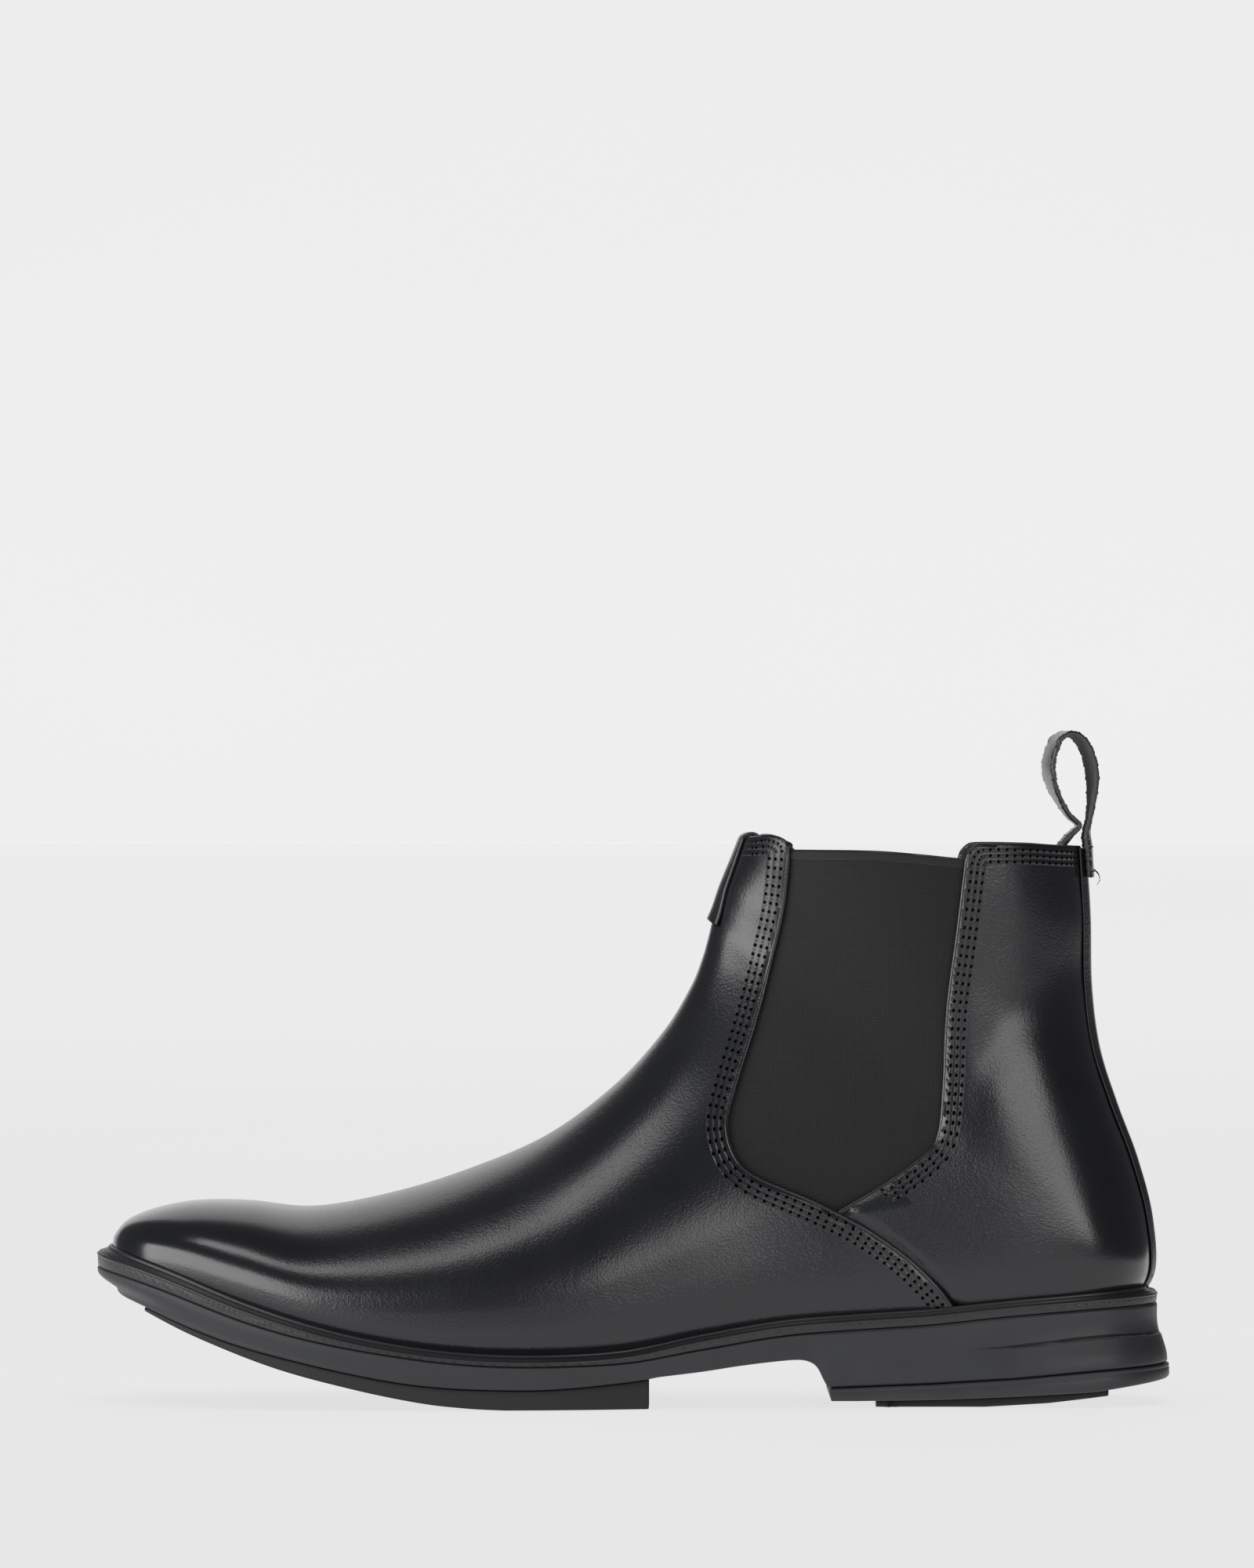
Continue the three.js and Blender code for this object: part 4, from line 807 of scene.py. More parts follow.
def build_lining(name, node, grid, region, top_line, ring, low):
    """A lining shell inside region(x, z), with a bead along the collar at the angles in ring."""
    s, angle, side, faces = grid
    p = upper(s, angle, side)
    outer = -3.0 + 1.35 * np.clip((7 + above(top_line, p)) / 4, 0, 1)
    sheets = [upper(s, angle, side, outer), upper(s, angle, side, LINING_IN)]
    data = np.column_stack([*sheets, region(p[:, 0], p[:, 2]), -above(top_line, p, -COLLAR_DROP),
                            above(WELT_LINE, p, -1)])
    data, faces = trimmed(data, faces, 6)
    beads = []
    for half in SIDE_NAME:
        q, n = with_normals(upper, at_height(ring, half, top_line, COLLAR_DROP, low), ring, half, offset=-2.92)
        keep = region(q[:, 0], q[:, 2]) > -0.3
        beads.append(tube(*resampled(q[keep], n[keep], 0.8), 0.85, 14, 1.5))
    shell = thicken(data[:, :3], data[:, 3:6], faces)
    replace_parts(make(name, *joined(shell, *beads), lining, slot="lining"), node)


def in_front(x, z):
    """Distance inside the front lining's edge, under the vamp."""
    return -beside(VAMP_LINE, x, z)[0] - 0.3


def behind(x, z):
    """Distance inside the rear lining's edge, under the quarter."""
    return np.minimum(beside(QUARTER_LINE, x, z)[0], beside(VAMP_LINE, x, z)[0]) - 2.4


build_lining("lining_front", "vamp_lining", sheet((0.2, LAST, 150), spread(60), (-1, 1)),
             in_front, VAMP_TOP, np.linspace(0, 1.3, 50), 11.0)
build_lining("lining_rear", "quarter_lining", sheet((9.5, LAST, 110), np.linspace(0.5, math.pi, 60), (-1, 1)),
             behind, QUARTER_TOP, np.linspace(math.pi, math.pi - 1.4, 50), 14.0)


def build_footbed():
    """A pad as wide as the lining leaves room for, a little dished, 3.4 mm thick."""
    x = -2 + 138 * np.sin(np.linspace(-math.pi / 2, math.pi / 2, 150)) * 0.985
    s = np.linspace(0, 14.6, 400)
    bx, bz = profile(2, s, LINING_IN - 0.3)
    z = np.interp(x, bx, bz) + 6.3
    sections, angle = at_side(np.stack([x, z], 1), LINING_IN - 0.3)
    outer, inner = (upper(sections, angle, side, LINING_IN - 0.6)[:, 1] for side in (-1.0, 1.0))
    v = np.sin(np.linspace(-math.pi / 2, math.pi / 2, 40))
    y = (outer + inner)[:, None] / 2 + (inner - outer)[:, None] / 2 * v
    dish = 1.1 * v ** 4 - 0.4
    grid = np.stack(np.broadcast_arrays(x[:, None], y, z[:, None] + dish - 0.5), -1)
    top, bottom = grid.reshape(-1, 3), (grid - [0, 0, 3.4]).reshape(-1, 3)
    points, faces = thicken(top, bottom, triangles(quads(150, 40)))
    piece = make("footbed_pad", points, faces, pad_cover, slot="lining")
    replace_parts(piece, "footbed")
    return piece


footbed = build_footbed()

# %% [markdown]
# Straps are cut leather strips 1.4 mm thick: the back strip over the rear seam, the tab folded over the
# collar in front and the pull loop. A strip is a rounded oblong section carried along a path; its edges
# are cut, so they are slightly uneven.

# %% Strips of leather


def ramp(x, a, b):
    """Smoothstep from 0 at a to 1 at b."""
    f = np.clip((x - a) / (b - a), 0, 1)
    return f * f * (3 - 2 * f)


def strap_section(width, thick, edge=7, flat=14):
    """Rounded oblong: (place across, place through) of its points, anticlockwise."""
    r = thick / 2
    turn = np.linspace(-math.pi / 2, math.pi / 2, edge)
    across = np.linspace(-1, 1, flat + 2)[1:-1] * (width / 2 - r)
    right = np.stack([width / 2 - r + r * np.cos(turn), r * np.sin(turn)], 1)
    return np.vstack([np.stack([across, np.full(flat, -r)], 1), right,
                      np.stack([across[::-1], np.full(flat, r)], 1), -right])


def across_last(s, y, middle, power):
    """Angle from the middle line and side of the point at lateral place y, by the section's sine rule."""
    start = column(middle, s)
    side = np.where(y < start, -1.0, 1.0)
    edge = np.where(side < 0, column(4, s), column(5, s))
    sine = np.clip(np.abs((y - start) / (edge - start)), 0, 1) ** (column(power, s) / 2)
    return np.arcsin(sine), side


def at_back(s, y, offset):
    """Point of the upper's back at section s and lateral place y."""
    angle, side = across_last(s, y, 7, 10)
    return upper(s, math.pi - angle, side, offset)


def at_front(s, y, offset):
    """Point of the upper's front at section s and lateral place y."""
    angle, side = across_last(s, y, 6, 9)
    return upper(s, angle, side, offset)


def cut_leather(name, colour, gloss):
    """Strap leather: polished grain face, grey fibres where the attribute flesh is 1."""
    f = Finish(name, Coat_Roughness=0.22, IOR=1.5)
    flesh = f.own("flesh")
    pores, broad = f.cells(1100), f.noise(60, 3.0)
    fibre = f.noise(1500, 5.0, Distortion=1.2)
    streak = f.noise(420, 3.0, at=f.place((1, 1, 0.3)))
    face = f.blend(broad, *shades(colour, 0.8, 1.4))
    nap = f.blend(fibre * 0.6 + streak * 0.4, (0.018, 0.019, 0.021), (0.13, 0.133, 0.14))
    height = pores * (1 - flesh) * 0.5 + fibre * (flesh * 1.6 + 0.3)
    return f.set(Base_Color=f.blend(flesh, face, nap), Roughness=gloss + flesh * 0.4 + broad * 0.1,
                 Coat_Weight=0.35 - flesh * 0.35, Normal=f.relief(height, 0.0003, 0.6))


def strap_piece(name, rings, node):
    """A strap that shows only its grain face."""
    points, faces = loft(rings)
    piece = make(name, points, faces, strap_leather, slot="strap_leather", flesh=np.zeros(len(points)))
    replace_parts(piece, node)


strap_leather = cut_leather("strap_leather", (0.011, 0.0115, 0.0135), 0.28)


STRIP_WIDTH, STRIP_THICK = 18, 1.35
STRIP_LOW, STRIP_HIGH = 14.62, 21.93  # section numbers of its two ends


def build_back_strip():
    """The strip up the back, skived thin at both edges and sunk a little where the welt hides its end."""
    uv = strap_section(STRIP_WIDTH, STRIP_THICK)
    s = np.linspace(STRIP_LOW, STRIP_HIGH, 150)[:, None]
    low = np.interp(s, [STRIP_LOW, 15.2], [0.35, 0.0])
    skived = ramp(np.abs(uv[:, 0]), 5.8, 9.0)
    offset = 0.95 - 0.5 * skived + uv[:, 1] * (1 - 0.5 * skived) - low
    strap_piece("back_strip_leather", at_back(s, np.broadcast_to(uv[:, 0], offset.shape), offset), "back_strip")


build_back_strip()


def sweep(surface_at, path, uv, swell=1.0):
    """Rings of a strap: surface_at(path place, y) is its middle, and its normal comes from differences."""
    y = np.unique(np.round(uv[:, 0], 6))
    grid = surface_at(path[:, None], y[None, :])
    along, across = np.gradient(grid, axis=0), np.gradient(grid, axis=1)
    normal = np.cross(across, along)
    normal /= np.linalg.norm(normal, axis=2)[..., None]
    j = np.searchsorted(y, np.round(uv[:, 0], 6))
    return grid[:, j] + (uv[:, 1] * swell * np.ones((len(path), 1)))[..., None] * normal[:, j]


def front_section(z):
    """Section number at which the front profile has height z."""
    s = np.linspace(10, LAST, 400)
    return np.interp(z, column(1, s), s)


def build_front_tab():
    """The tab: up the outside to 0.55 of its way, over the collar to 0.7, and down the inside."""
    top, low, inside = front_section(158.6), front_section(135.7), front_section(149.5)
    rise = front_section(160.9) - top

    def at(t, y):
        t, y = np.broadcast_arrays(t, y)
        turn = np.clip((t - 0.55) / 0.15, 0, 1) * math.pi
        outside, within = low + (top - low) * t / 0.55, top - (top - inside) * (t - 0.7) / 0.3
        s = np.where(t < 0.55, outside, np.where(t > 0.7, within, top)) + rise * np.sin(turn)
        # the cut end stands off the vamp a little
        off = -2.3 + 2.85 * np.cos(turn) + 0.6 * np.clip(1 - t / 0.1, 0, 1) ** 2
        return at_front(s, y, off)

    legs = np.linspace(0, 0.55, 50), np.linspace(0.55, 0.7, 26)[1:], np.linspace(0.7, 1, 24)[1:]
    strap_piece("front_tab_leather", sweep(at, np.concatenate(legs), strap_section(14.5, 1.05)), "front_tab")


build_front_tab()

# %% [markdown]
# The pull loop is one strap: its outer foot is sewn down over the back strip, it stands up as a slightly
# twisted teardrop and its inner foot is sewn on the lining. Below the neck it is bent round the collar and
# above it stands flat. Its edges were cut by hand and are rough, and its inside is flesh.

# %% Pull loop
NECK = np.array([127.1, 161.2])
STRAP, SHAFT = 1.4, 157.0


def beside_back(offset, z):
    """Side-view point at height z, offset behind the back of the upper."""
    s = np.linspace(LAST * 0.7, LAST, 60)
    x, h = profile(2, s, 0.0)
    return [float(np.interp(z, h, x)) + offset, z]


OVER_NECK = np.array([
    [1.4, 0], [2.5, 7.5], [2.9, 15], [1.6, 21.6], [-1, 26], [-4.6, 27.4], [-8.4, 24.6], [-10.2, 18.5], [-9, 12],
    [-4.9, 4.8], [-1.5, 1.4], [-3.3, -1.3]])
LOOP = smooth([*[beside_back(2.55, SHAFT + z) for z in (-9, -4.5, 0)], *(NECK + OVER_NECK),
               *[beside_back(-5.05, SHAFT + z) for z in (-0.4, -2.2, -6, -12)]], 220)
TOP = len(LOOP) // 2  # the path's point at the top of the loop, between its two legs
SECTION = strap_section(STRIP_WIDTH, STRAP, 9, 16)


def sag(y, offset):
    """How far the collar's back lies ahead of its rearmost line at y."""
    s = np.full(np.shape(y), LAST - 1.0)
    p = at_back(s, y, offset)
    return at_back(np.array([LAST - 1.0]), column(7, np.array([LAST - 1.0])), offset)[0, 0] - p[..., 0]


def build_loop():
    """Rings of the strap: flat and twisted by 7 degrees above the neck, bent round the collar below it."""
    place = np.arange(len(LOOP))

    def at(t, y):
        t, y = np.broadcast_arrays(t, y)
        x, z = (np.interp(t, place, LOOP[:, k]) for k in (0, 1))
        rag = 1 + 0.012 * np.sin(t * 0.9 + 2) * np.sin(t * 0.37) + 0.008 * np.sin(t * 2.3)
        rag = rag + 0.006 * np.sin(t * 4.1 + y)
        flat = ramp(z, NECK[1] - 3.4, NECK[1] + 3)
        turn = math.radians(7) * ramp(z, NECK[1] + 2, NECK[1] + 18)
        bend = np.where(t < TOP, sag(y, 2.0), sag(y, -4.5)) * (1 - flat)
        cup = 0.35 * (y / 9) ** 2 * flat * np.where(t < TOP, 1, -1)
        x, y = x - bend - cup - NECK[0], y * rag
        turned_x, turned_y = x * np.cos(turn) - y * np.sin(turn), x * np.sin(turn) + y * np.cos(turn)
        return np.stack([NECK[0] + turned_x, turned_y, z], -1)

    # the cut edges are frayed: their thickness wanders
    fray = 1 + 0.28 * np.sin(place * 1.37) * np.sin(place * 0.53 + 1) + 0.16 * np.sin(place * 2.9 + 2)
    at_edge = np.clip((np.abs(SECTION[:, 0]) - 7.6) / 0.8, 0, 1)
    return sweep(at, place, SECTION, 1 + (fray[:, None] - 1) * at_edge)


loop_rings = build_loop()
print("loop's top (mm):", loop_rings[TOP].mean(0).round(1))
# The flesh is the face towards the loop's middle: on the rear leg, the one whose x is less.
rear_x, through = loop_rings[60][:, 0], SECTION[:, 1]
outwards = np.sign(((rear_x - rear_x.mean()) * through).sum())
flesh = np.clip(0.5 - outwards * np.tile(through, len(LOOP)) / STRAP * 2.2, 0, 1)
pull_loop = make("pull_loop_leather", *loft(loop_rings), strap_leather, ride=False, slot="strap_leather",
                 flesh=np.concatenate([flesh, [0.5, 0.5]]))
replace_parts(pull_loop, "pull_loop", "loop_foot_outer", "loop_foot_inner")
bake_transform(pull_loop)

# %% [markdown]
# Welt, sole and treads are moulded rubber. They all follow one outline: where the lasted upper meets the
# welt line. Rings round that outline, each with its own distance out and its own height, make them. Both
# sides share their x values, so a ring's two sides can be joined by straight lines across the bottom.

# %% The sole's outline
SIDEWALL = smooth([
    [-160, 35.5], [-147, 31], [-136.7, 27.4], [-123.8, 22.2], [-110.4, 17.6], [-93.6, 13.3], [-77, 9.7],
    [-62, 7.2], [-45.7, 5.9], [-23.8, 5.7], [-1.9, 7.5], [6.9, 8.9]], 200)
ARCH = smooth([[6.9, 8.9], [19, 10.3], [30, 11.9], [40.6, 13.1], [46.5, 13.4], [49.6, 12.6], [51.4, 11],
               [53, 7.8], [54.2, 5.7]], 80)
LIP_TOP = np.array([[54.2, 5.6], [56, 5.6], [85, 6.8], [107, 8.2], [129, 10.1], [160, 12.2]])
LIP_LOW = np.array([[-170, 1.9], [62, 1.9], [85, 2.3], [107, 3.2], [129, 4.3], [146, 6.6], [160, 8.6]])
SOLE_BOTTOM = np.vstack([SIDEWALL, ARCH[1:], LIP_TOP[1:]])
TREAD_CURVE = smooth([[-138.5, 26.9], [-122.2, 19.6], [-100.4, 11.5], [-78.5, 5.8], [-60, 2.1], [-47, 0.6],
                      [-36, 0]], 60)
TREAD_LINE = np.vstack([TREAD_CURVE, [[3.1, 0]]])
HEEL_LINE = np.array([[67.7, 0], [98, 0], [116, 1], [133, 2.8]])
HEEL_GROOVE = smooth([[90, 16.0], [96.6, 16.3], [107.5, 17.2], [129.4, 19.6], [148.4, 19.8], [160, 19.9]], 40)


def margin(x):
    """How far the welt stands out from the upper."""
    return 4.7 - 1.7 * ramp(x, -30, 45) + 1.8 * ramp(x, 118, 146)


def thickness(x):
    """The welt's thickness."""
    return 3.7 + 1.1 * (1 - ramp(x, -150, -70)) - 1.2 * (ramp(x, -110, -60) - ramp(x, -20, 30))


def flare(x):
    """How much further out the sidewall's bottom is than its top: drawn in at the toe, flared at the heel."""
    return -4.6 * (1 - ramp(x, -152, -118)) - 1.2 * (1 - ramp(x, 50, 80)) + 2.6 * ramp(x, 60, 145)


def outline(x):
    """Points and outward normals round the upper at the welt line, outer side toe to heel, then back."""
    s, angle = at_side(np.stack([x, height(WELT_LINE, x)], 1))
    outer, inner = (upper(s, angle, side)[:, 1] for side in (-1.0, 1.0))
    p = np.vstack([np.stack([x, outer], 1), np.stack([x, inner], 1)[::-1]])
    d = np.roll(p, -1, 0) - np.roll(p, 1, 0)
    n = np.stack([d[:, 1], -d[:, 0]], 1)
    for _ in range(3):
        n = n / np.linalg.norm(n, axis=1)[:, None]
        n = n + 0.5 * (np.roll(n, 1, 0) + np.roll(n, -1, 0))
    return p, n / np.linalg.norm(n, axis=1)[:, None]


def stations(low, high, count, extra=()):
    """x values, closer together at both ends, with extra ones put in."""
    x = (low + high) / 2 - (high - low) / 2 * np.cos(np.linspace(0, math.pi, count))
    return np.unique(np.concatenate([x, *extra]).round(4))


FOOT_X = stations(-147.4, 145.35, 420, [np.linspace(46, 58, 30), np.linspace(1, 9, 10)])
foot, foot_normal = outline(FOOT_X)
foot_run = np.concatenate([[0], np.cumsum(np.linalg.norm(np.diff(foot, axis=0), axis=1))])
print("outline:", len(foot), "points,", round(foot_run[-1]), "mm round")


def ring(out, z, base=(foot, foot_normal)):
    """A ring round an outline: out and z are numbers or arrays along it."""
    p = base[0] + base[1] * np.broadcast_to(out, len(base[0]))[:, None]
    return np.column_stack([p, np.broadcast_to(z, len(p))])


# %% [markdown]
# The welt carries a bead against the upper and a glossy ledge with fine raised lines; imitation stitches
# are moulded along its lower edge. It is one ring-shaped piece, so its section is simply closed on itself.

# %% Welt


def moulded(name, colour, rough, grain, depth, coat=0.0, lines=False):
    """Rubber: fine mould grain, cloudy wear; lines adds the welt's imitation stitches or the heel's groove,
    pressed in and painted dark as shade.
    """
    f = Finish(name, IOR=1.5, Coat_Roughness=0.25)
    fine, cloud = f.noise(grain, 3.0), f.noise(70, 3.0)
    paint = f.blend(cloud, *shades(colour, 0.75, 1.3))
    relief = f.relief(fine, depth, 0.6)
    roughness = rough + cloud * 0.14 + fine * 0.05
    if lines:
        mark = f.own("mark")
        relief = f.relief(mark * -1.0, 0.0006, 1.0, relief)
        # the marks are painted near black: painted shade in the pressed-in stitches and groove
        paint = f.blend(mark * 0.75, paint, (0.003, 0.003, 0.003))
    return f.set(Base_Color=paint, Roughness=roughness, Normal=relief, Coat_Weight=coat)


welt_rubber = moulded("welt_rubber", (0.013, 0.0135, 0.015), 0.36, 700, 0.0001, 0.25, True)
sole_rubber = moulded("sole_rubber", (0.021, 0.022, 0.0245), 0.42, 900, 0.00012, 0.1, True)
tread_rubber = moulded("tread_rubber", (0.013, 0.0132, 0.014), 0.62, 900, 0.0002)


def build_welt():
    """One closed section carried round the outline; each of its points is a way out and a drop in z."""
    x = foot[:, 0]
    m, h, z = margin(x), thickness(x), height(WELT_LINE, x)
    edge = m - 0.2
    section = [(-1.4, -h), (-1.4, -0.2), (-0.3, 0.35)]
    for a in np.radians(np.linspace(150, -20, 8)):  # bead
        section.append((0.75 + 0.62 * np.cos(a), 0.25 + 0.5 * np.sin(a)))
    for t in np.linspace(0, 1, 22):  # ledge
        wave = 0.16 * np.cos(t * 3 * 2 * math.pi) * (0.2 + 0.8 * (t > 0.1))
        section.append((1.62 + (edge - 0.5 - 1.62) * t, -0.25 - 0.75 * t + wave))
    for a in np.radians(np.linspace(75, -60, 7)):  # rounded edge
        section.append((edge - 0.45 + 0.45 * np.cos(a), -1.5 + 0.45 * np.sin(a)))
    for t in np.linspace(0.2, 1, 6):  # the edge's side
        section.append((edge - 0.12 - 0.2 * t, -1.7 - (h - 1.75) * t))
    rings = np.stack([ring(out, z + drop) for out, drop in section])
    k, n = rings.shape[:2]
    points = rings.reshape(-1, 3)
    i, j = np.meshgrid(np.arange(k), np.arange(n), indexing="ij")
    a, b = (i + 1) % k, (j + 1) % n
    faces = np.stack([i * n + j, i * n + b, a * n + b, a * n + j], -1).reshape(-1, 4)
    # moulded stitches: slanting dashes every 1.5 mm along the lower edge, pressed in and painted dark as shade
    row = np.arange(k)[:, None]
    run = foot_run[None, :] + row * 0.12
    dash = np.clip(1 - np.abs((run / 1.5) % 1 - 0.5) / 0.2, 0, 1)
    mark = dash * np.clip((row - (k - 8)) / 2, 0, 1) * np.clip((k - 2 - row) / 2, 0, 1) * 0.35
    piece = make("welt_ring", points, faces, welt_rubber, slot="welt", mark=mark.ravel())
    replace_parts(piece, "welt")


build_welt()

# %% [markdown]
# The sole unit is one plate: its sidewall hollows a little in the middle, draws in under the toe, flares at
# the heel, and its bottom follows the forefoot, the arch and the heel breast. The heel's bottom layer and
# the two treads are plates as well. Treads have cross grooves, which are steps in the bottom line.

# %% Sole, heel and treads


def plate(name, rings, material, node, slot, **more):
    """Rings from the top inwards edge down to the bottom, closed by lines across between both sides."""
    rings = np.stack(rings)
    k, n = rings.shape[:2]
    points = rings.reshape(-1, 3)
    i, j = np.meshgrid(np.arange(k - 1), np.arange(n), indexing="ij")
    b = (j + 1) % n
    sides = np.stack([i * n + j, i * n + b, (i + 1) * n + b, (i + 1) * n + j], -1).reshape(-1, 4)
    j = np.arange(n // 2 - 1)
    across = np.stack([j, n - 1 - j, n - 2 - j, j + 1], 1)
    piece = make(name, points, [sides, across, across[:, ::-1] + (k - 1) * n], material, slot=slot, **more)
    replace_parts(piece, node)


def low_ring(out, line, up=0.0, base=(foot, foot_normal)):
    """A ring that follows a side-view line at its own x."""
    p = ring(out, 0, base)
    p[:, 2] = height(line, p[:, 0]) + up
    return p


def build_sole():
    """The sidewall's rings, from the rim under the welt down to the bottom, with the heel's groove marked."""
    x = foot[:, 0]
    m, h, w, f = margin(x), thickness(x), height(WELT_LINE, x), flare(x)
    top = w - h - 0.15
    rings, marks = [ring(m - 3.0, top - 2.5), ring(m - 3.0, top), ring(m - 0.9, top)], [0 * x] * 3
    full = m - 0.4 + f
    bottom = height(SOLE_BOTTOM, (foot + foot_normal * full[:, None])[:, 0])
    for t in np.linspace(0, 1, 44):
        t = t ** 0.9
        hollow = np.interp(t, [0, 0.03, 0.45, 0.8, 1], [-0.7, -0.32, -0.5, -0.4, -0.4])
        out = m + hollow + f * ramp(t, 0.15, 1.0) ** 1.3
        z = top - 0.15 + (bottom + 0.7 - top + 0.15) * t
        groove = z - height(HEEL_GROOVE, x)
        fade = ramp(x, 92, 108)
        out = out + 0.35 * fade * (1 - ramp(groove, -0.5, 0.1))
        rings.append(ring(out, z))
        # the groove's mark is pressed in and painted dark as shade by the sole's finish
        marks.append(fade * np.clip(1 - np.abs(groove) / 0.42, 0, 1))
    for drop, inset in ((0.35, 0.12), (0.1, 0.4), (0.0, 0.9)):
        rings.append(low_ring(full + 0.35 * ramp(x, 92, 108) - inset, SOLE_BOTTOM, drop))
        marks.append(0 * x)
    plate("sole_moulding", rings, sole_rubber, "sole_unit", "sole", mark=np.concatenate(marks))


def build_lip():
    """The heel's bottom layer: a lip with a fine groove round its side."""
    x = foot[:, 0]
    in_heel = x > 55
    rest = margin(x) - 0.4 + flare(x)
    upper_half = ((0.0, -0.15), (0.55, -0.2), (0.78, -0.5), (0.84, -1.0), (0.7, -1.25), (0.86, -1.5))
    lower_half = ((0.9, 1.0), (0.75, 0.4), (0.4, 0.08), (-0.2, 0.0))
    rings = [low_ring(rest + out, LIP_TOP, up)[in_heel] for out, up in upper_half]
    rings += [low_ring(rest + out, LIP_LOW, up)[in_heel] for out, up in lower_half]
    plate("heel_lip", rings, sole_rubber, "heel_top_piece", "sole", mark=np.zeros(len(rings) * in_heel.sum()))


def grooved(line, low, high, pitch=9.5, width=2.6, deep=1.3):
    """The bottom line with grooves, and the x values that show them."""
    centres = np.arange(low, high, pitch)
    offsets = np.array([-1.5, -1.25, -1.05, -0.9, 0.9, 1.05, 1.25, 1.5]) * width / 2.5
    depth = np.array([0, 0.12, 0.8, 1.0, 1.0, 0.8, 0.12, 0]) * deep
    x = np.concatenate([(centres[:, None] + offsets).ravel(), line[:, 0]])
    z = np.concatenate([np.tile(depth, len(centres)), np.zeros(len(line))])
    inside = (np.abs(line[:, 0][:, None] - centres) < width * 0.6).any(1)
    keep = np.concatenate([np.ones(len(centres) * 8, bool), ~inside])
    order = np.argsort(x[keep])
    x, z = x[keep][order], z[keep][order]
    return np.stack([x, height(line, x) + z], 1), x


def build_tread(name, node, line, grooves, ends, inset, top_line):
    """A tread between two x values, under top_line, with cross grooves between the two given x values."""
    cut, places = grooved(line, *grooves)
    between = places[(places > ends[0]) & (places < ends[1])]
    base = outline(stations(*ends, 120, [between]))
    out = margin(base[0][:, 0]) - 0.4 + flare(base[0][:, 0]) - inset
    rings = [low_ring(out - 0.3, top_line, -0.2, base), low_ring(out, top_line, -0.45, base)]
    top = rings[1][:, 2]
    for t in (0.3, 0.6, 0.85):
        wall = low_ring(out, line, 0.0, base)
        wall[:, 2] = top + (wall[:, 2] + 0.3 - top) * t
        rings.append(wall)
    rings += [low_ring(out - 0.1, line, 0.12, base), low_ring(out - 0.5, line, 0.0, base),
              low_ring(out - 2.6, line, 0.0, base), low_ring(out - 3.0, cut, 0.0, base)]
    plate(name, rings, tread_rubber, node, "tread")


build_sole()
build_lip()
build_tread("forefoot_tread_grooved", "forefoot_tread", TREAD_LINE, (-126, -6), (-138.3, 3.1), 1.2, SIDEWALL)
build_tread("heel_tread_grooved", "heel_tread", HEEL_LINE, (76, 130), (67.7, 133), 6, LIP_LOW)

# %% [markdown]
# Every seam is lockstitched in waxed thread. The needle pulls each stitch into the leather, so a stitch is
# a short fat capsule, half sunk, between two holes. Each row is one mesh made at once from the stitches'
# places; the rows run parallel to the folded edges.

# %% Stitches


def stitches(p, n, run=None, pitch=PITCH, length=1.35, radius=0.24, sink=0.14):
    """Capsules at even steps along the path: three rings of five points and two pointed ends."""
    if run is None:
        run = np.concatenate([[0], np.cumsum(np.linalg.norm(np.diff(p, axis=0), axis=1))])
    run = np.maximum.accumulate(run + np.arange(len(run)) * 1e-6)
    t = np.arange(math.ceil(run[0] / pitch + 0.1), run[-1] / pitch) * pitch
    at = lambda v, s: np.stack([np.interp(s, run, v[:, k]) for k in range(3)], 1)
    middle, up = at(p, t), at(n, t)
    along = at(p, t + 0.4) - at(p, t - 0.4)
    along /= np.linalg.norm(along, axis=1)[:, None]
    across = np.cross(along, up)
    across /= np.linalg.norm(across, axis=1)[:, None]
    angle = np.arange(5) / 5 * 2 * math.pi
    stops = np.array([-0.42, 0, 0.42]) * length
    size, lift = np.array([0.72, 1.0, 0.72]) * radius, np.array([-0.16, 0.0, -0.16])
    ring = np.sin(angle)[:, None] * up[:, None] + np.cos(angle)[:, None] * across[:, None]
    centres = middle[:, None] + stops[:, None] * along[:, None] + (lift - sink)[:, None] * up[:, None]
    points = centres[:, :, None] + size[:, None, None] * ring[:, None]
    tips = np.stack([middle + (e * length / 2) * along - (sink + 0.35) * up for e in (-1, 1)], 1)
    points = np.concatenate([points.reshape(len(t), 15, 3), tips], 1)
    j, k = np.arange(5), (np.arange(5) + 1) % 5
    quad = np.concatenate([np.stack([j, k, k + 5, j + 5], 1), np.stack([j + 5, k + 5, k + 10, j + 10], 1)])
    fan = np.concatenate([np.stack([k, j, np.full(5, 15)], 1), np.stack([j + 10, k + 10, np.full(5, 16)], 1)])
    base = (np.arange(len(t)) * 17)[:, None, None]
    return points.reshape(-1, 3), [(quad + base).reshape(-1, 4), (fan + base).reshape(-1, 3)]


def vamp_row(inset, side):
    """One row beside the vamp's edge, from the collar down to the welt."""
    p, n = vamp_half(inset, 0.0, side, LAP)
    keep = above(WELT_LINE, p, 1.0) > 0
    p, n = p[keep], n[keep]
    return p, n, vamp_length(beside(VAMP_SEAM, p[:, 0], p[:, 2])[1])


def quarter_row(inset, side):
    """One row beside the quarter's edge, from the back down to the vamp."""
    p, n = quarter_outline(inset, 0.0, side)
    keep = np.cumsum(beside(VAMP_LINE, p[:, 0], p[:, 2])[0] < 1.5) < 1
    return p[keep], n[keep], quarter_length(beside(QUARTER_SEAM, p[keep, 0], p[keep, 2])[1])


def strip_rows():
    """Rows up both edges of the back strip."""
    s = np.linspace(14.9, 21.85, 200)
    inset = STRIP_WIDTH / 2 - 1.7
    return [with_normals(at_back, s, np.full(len(s), y), offset=1.2) for y in (-inset, inset)]


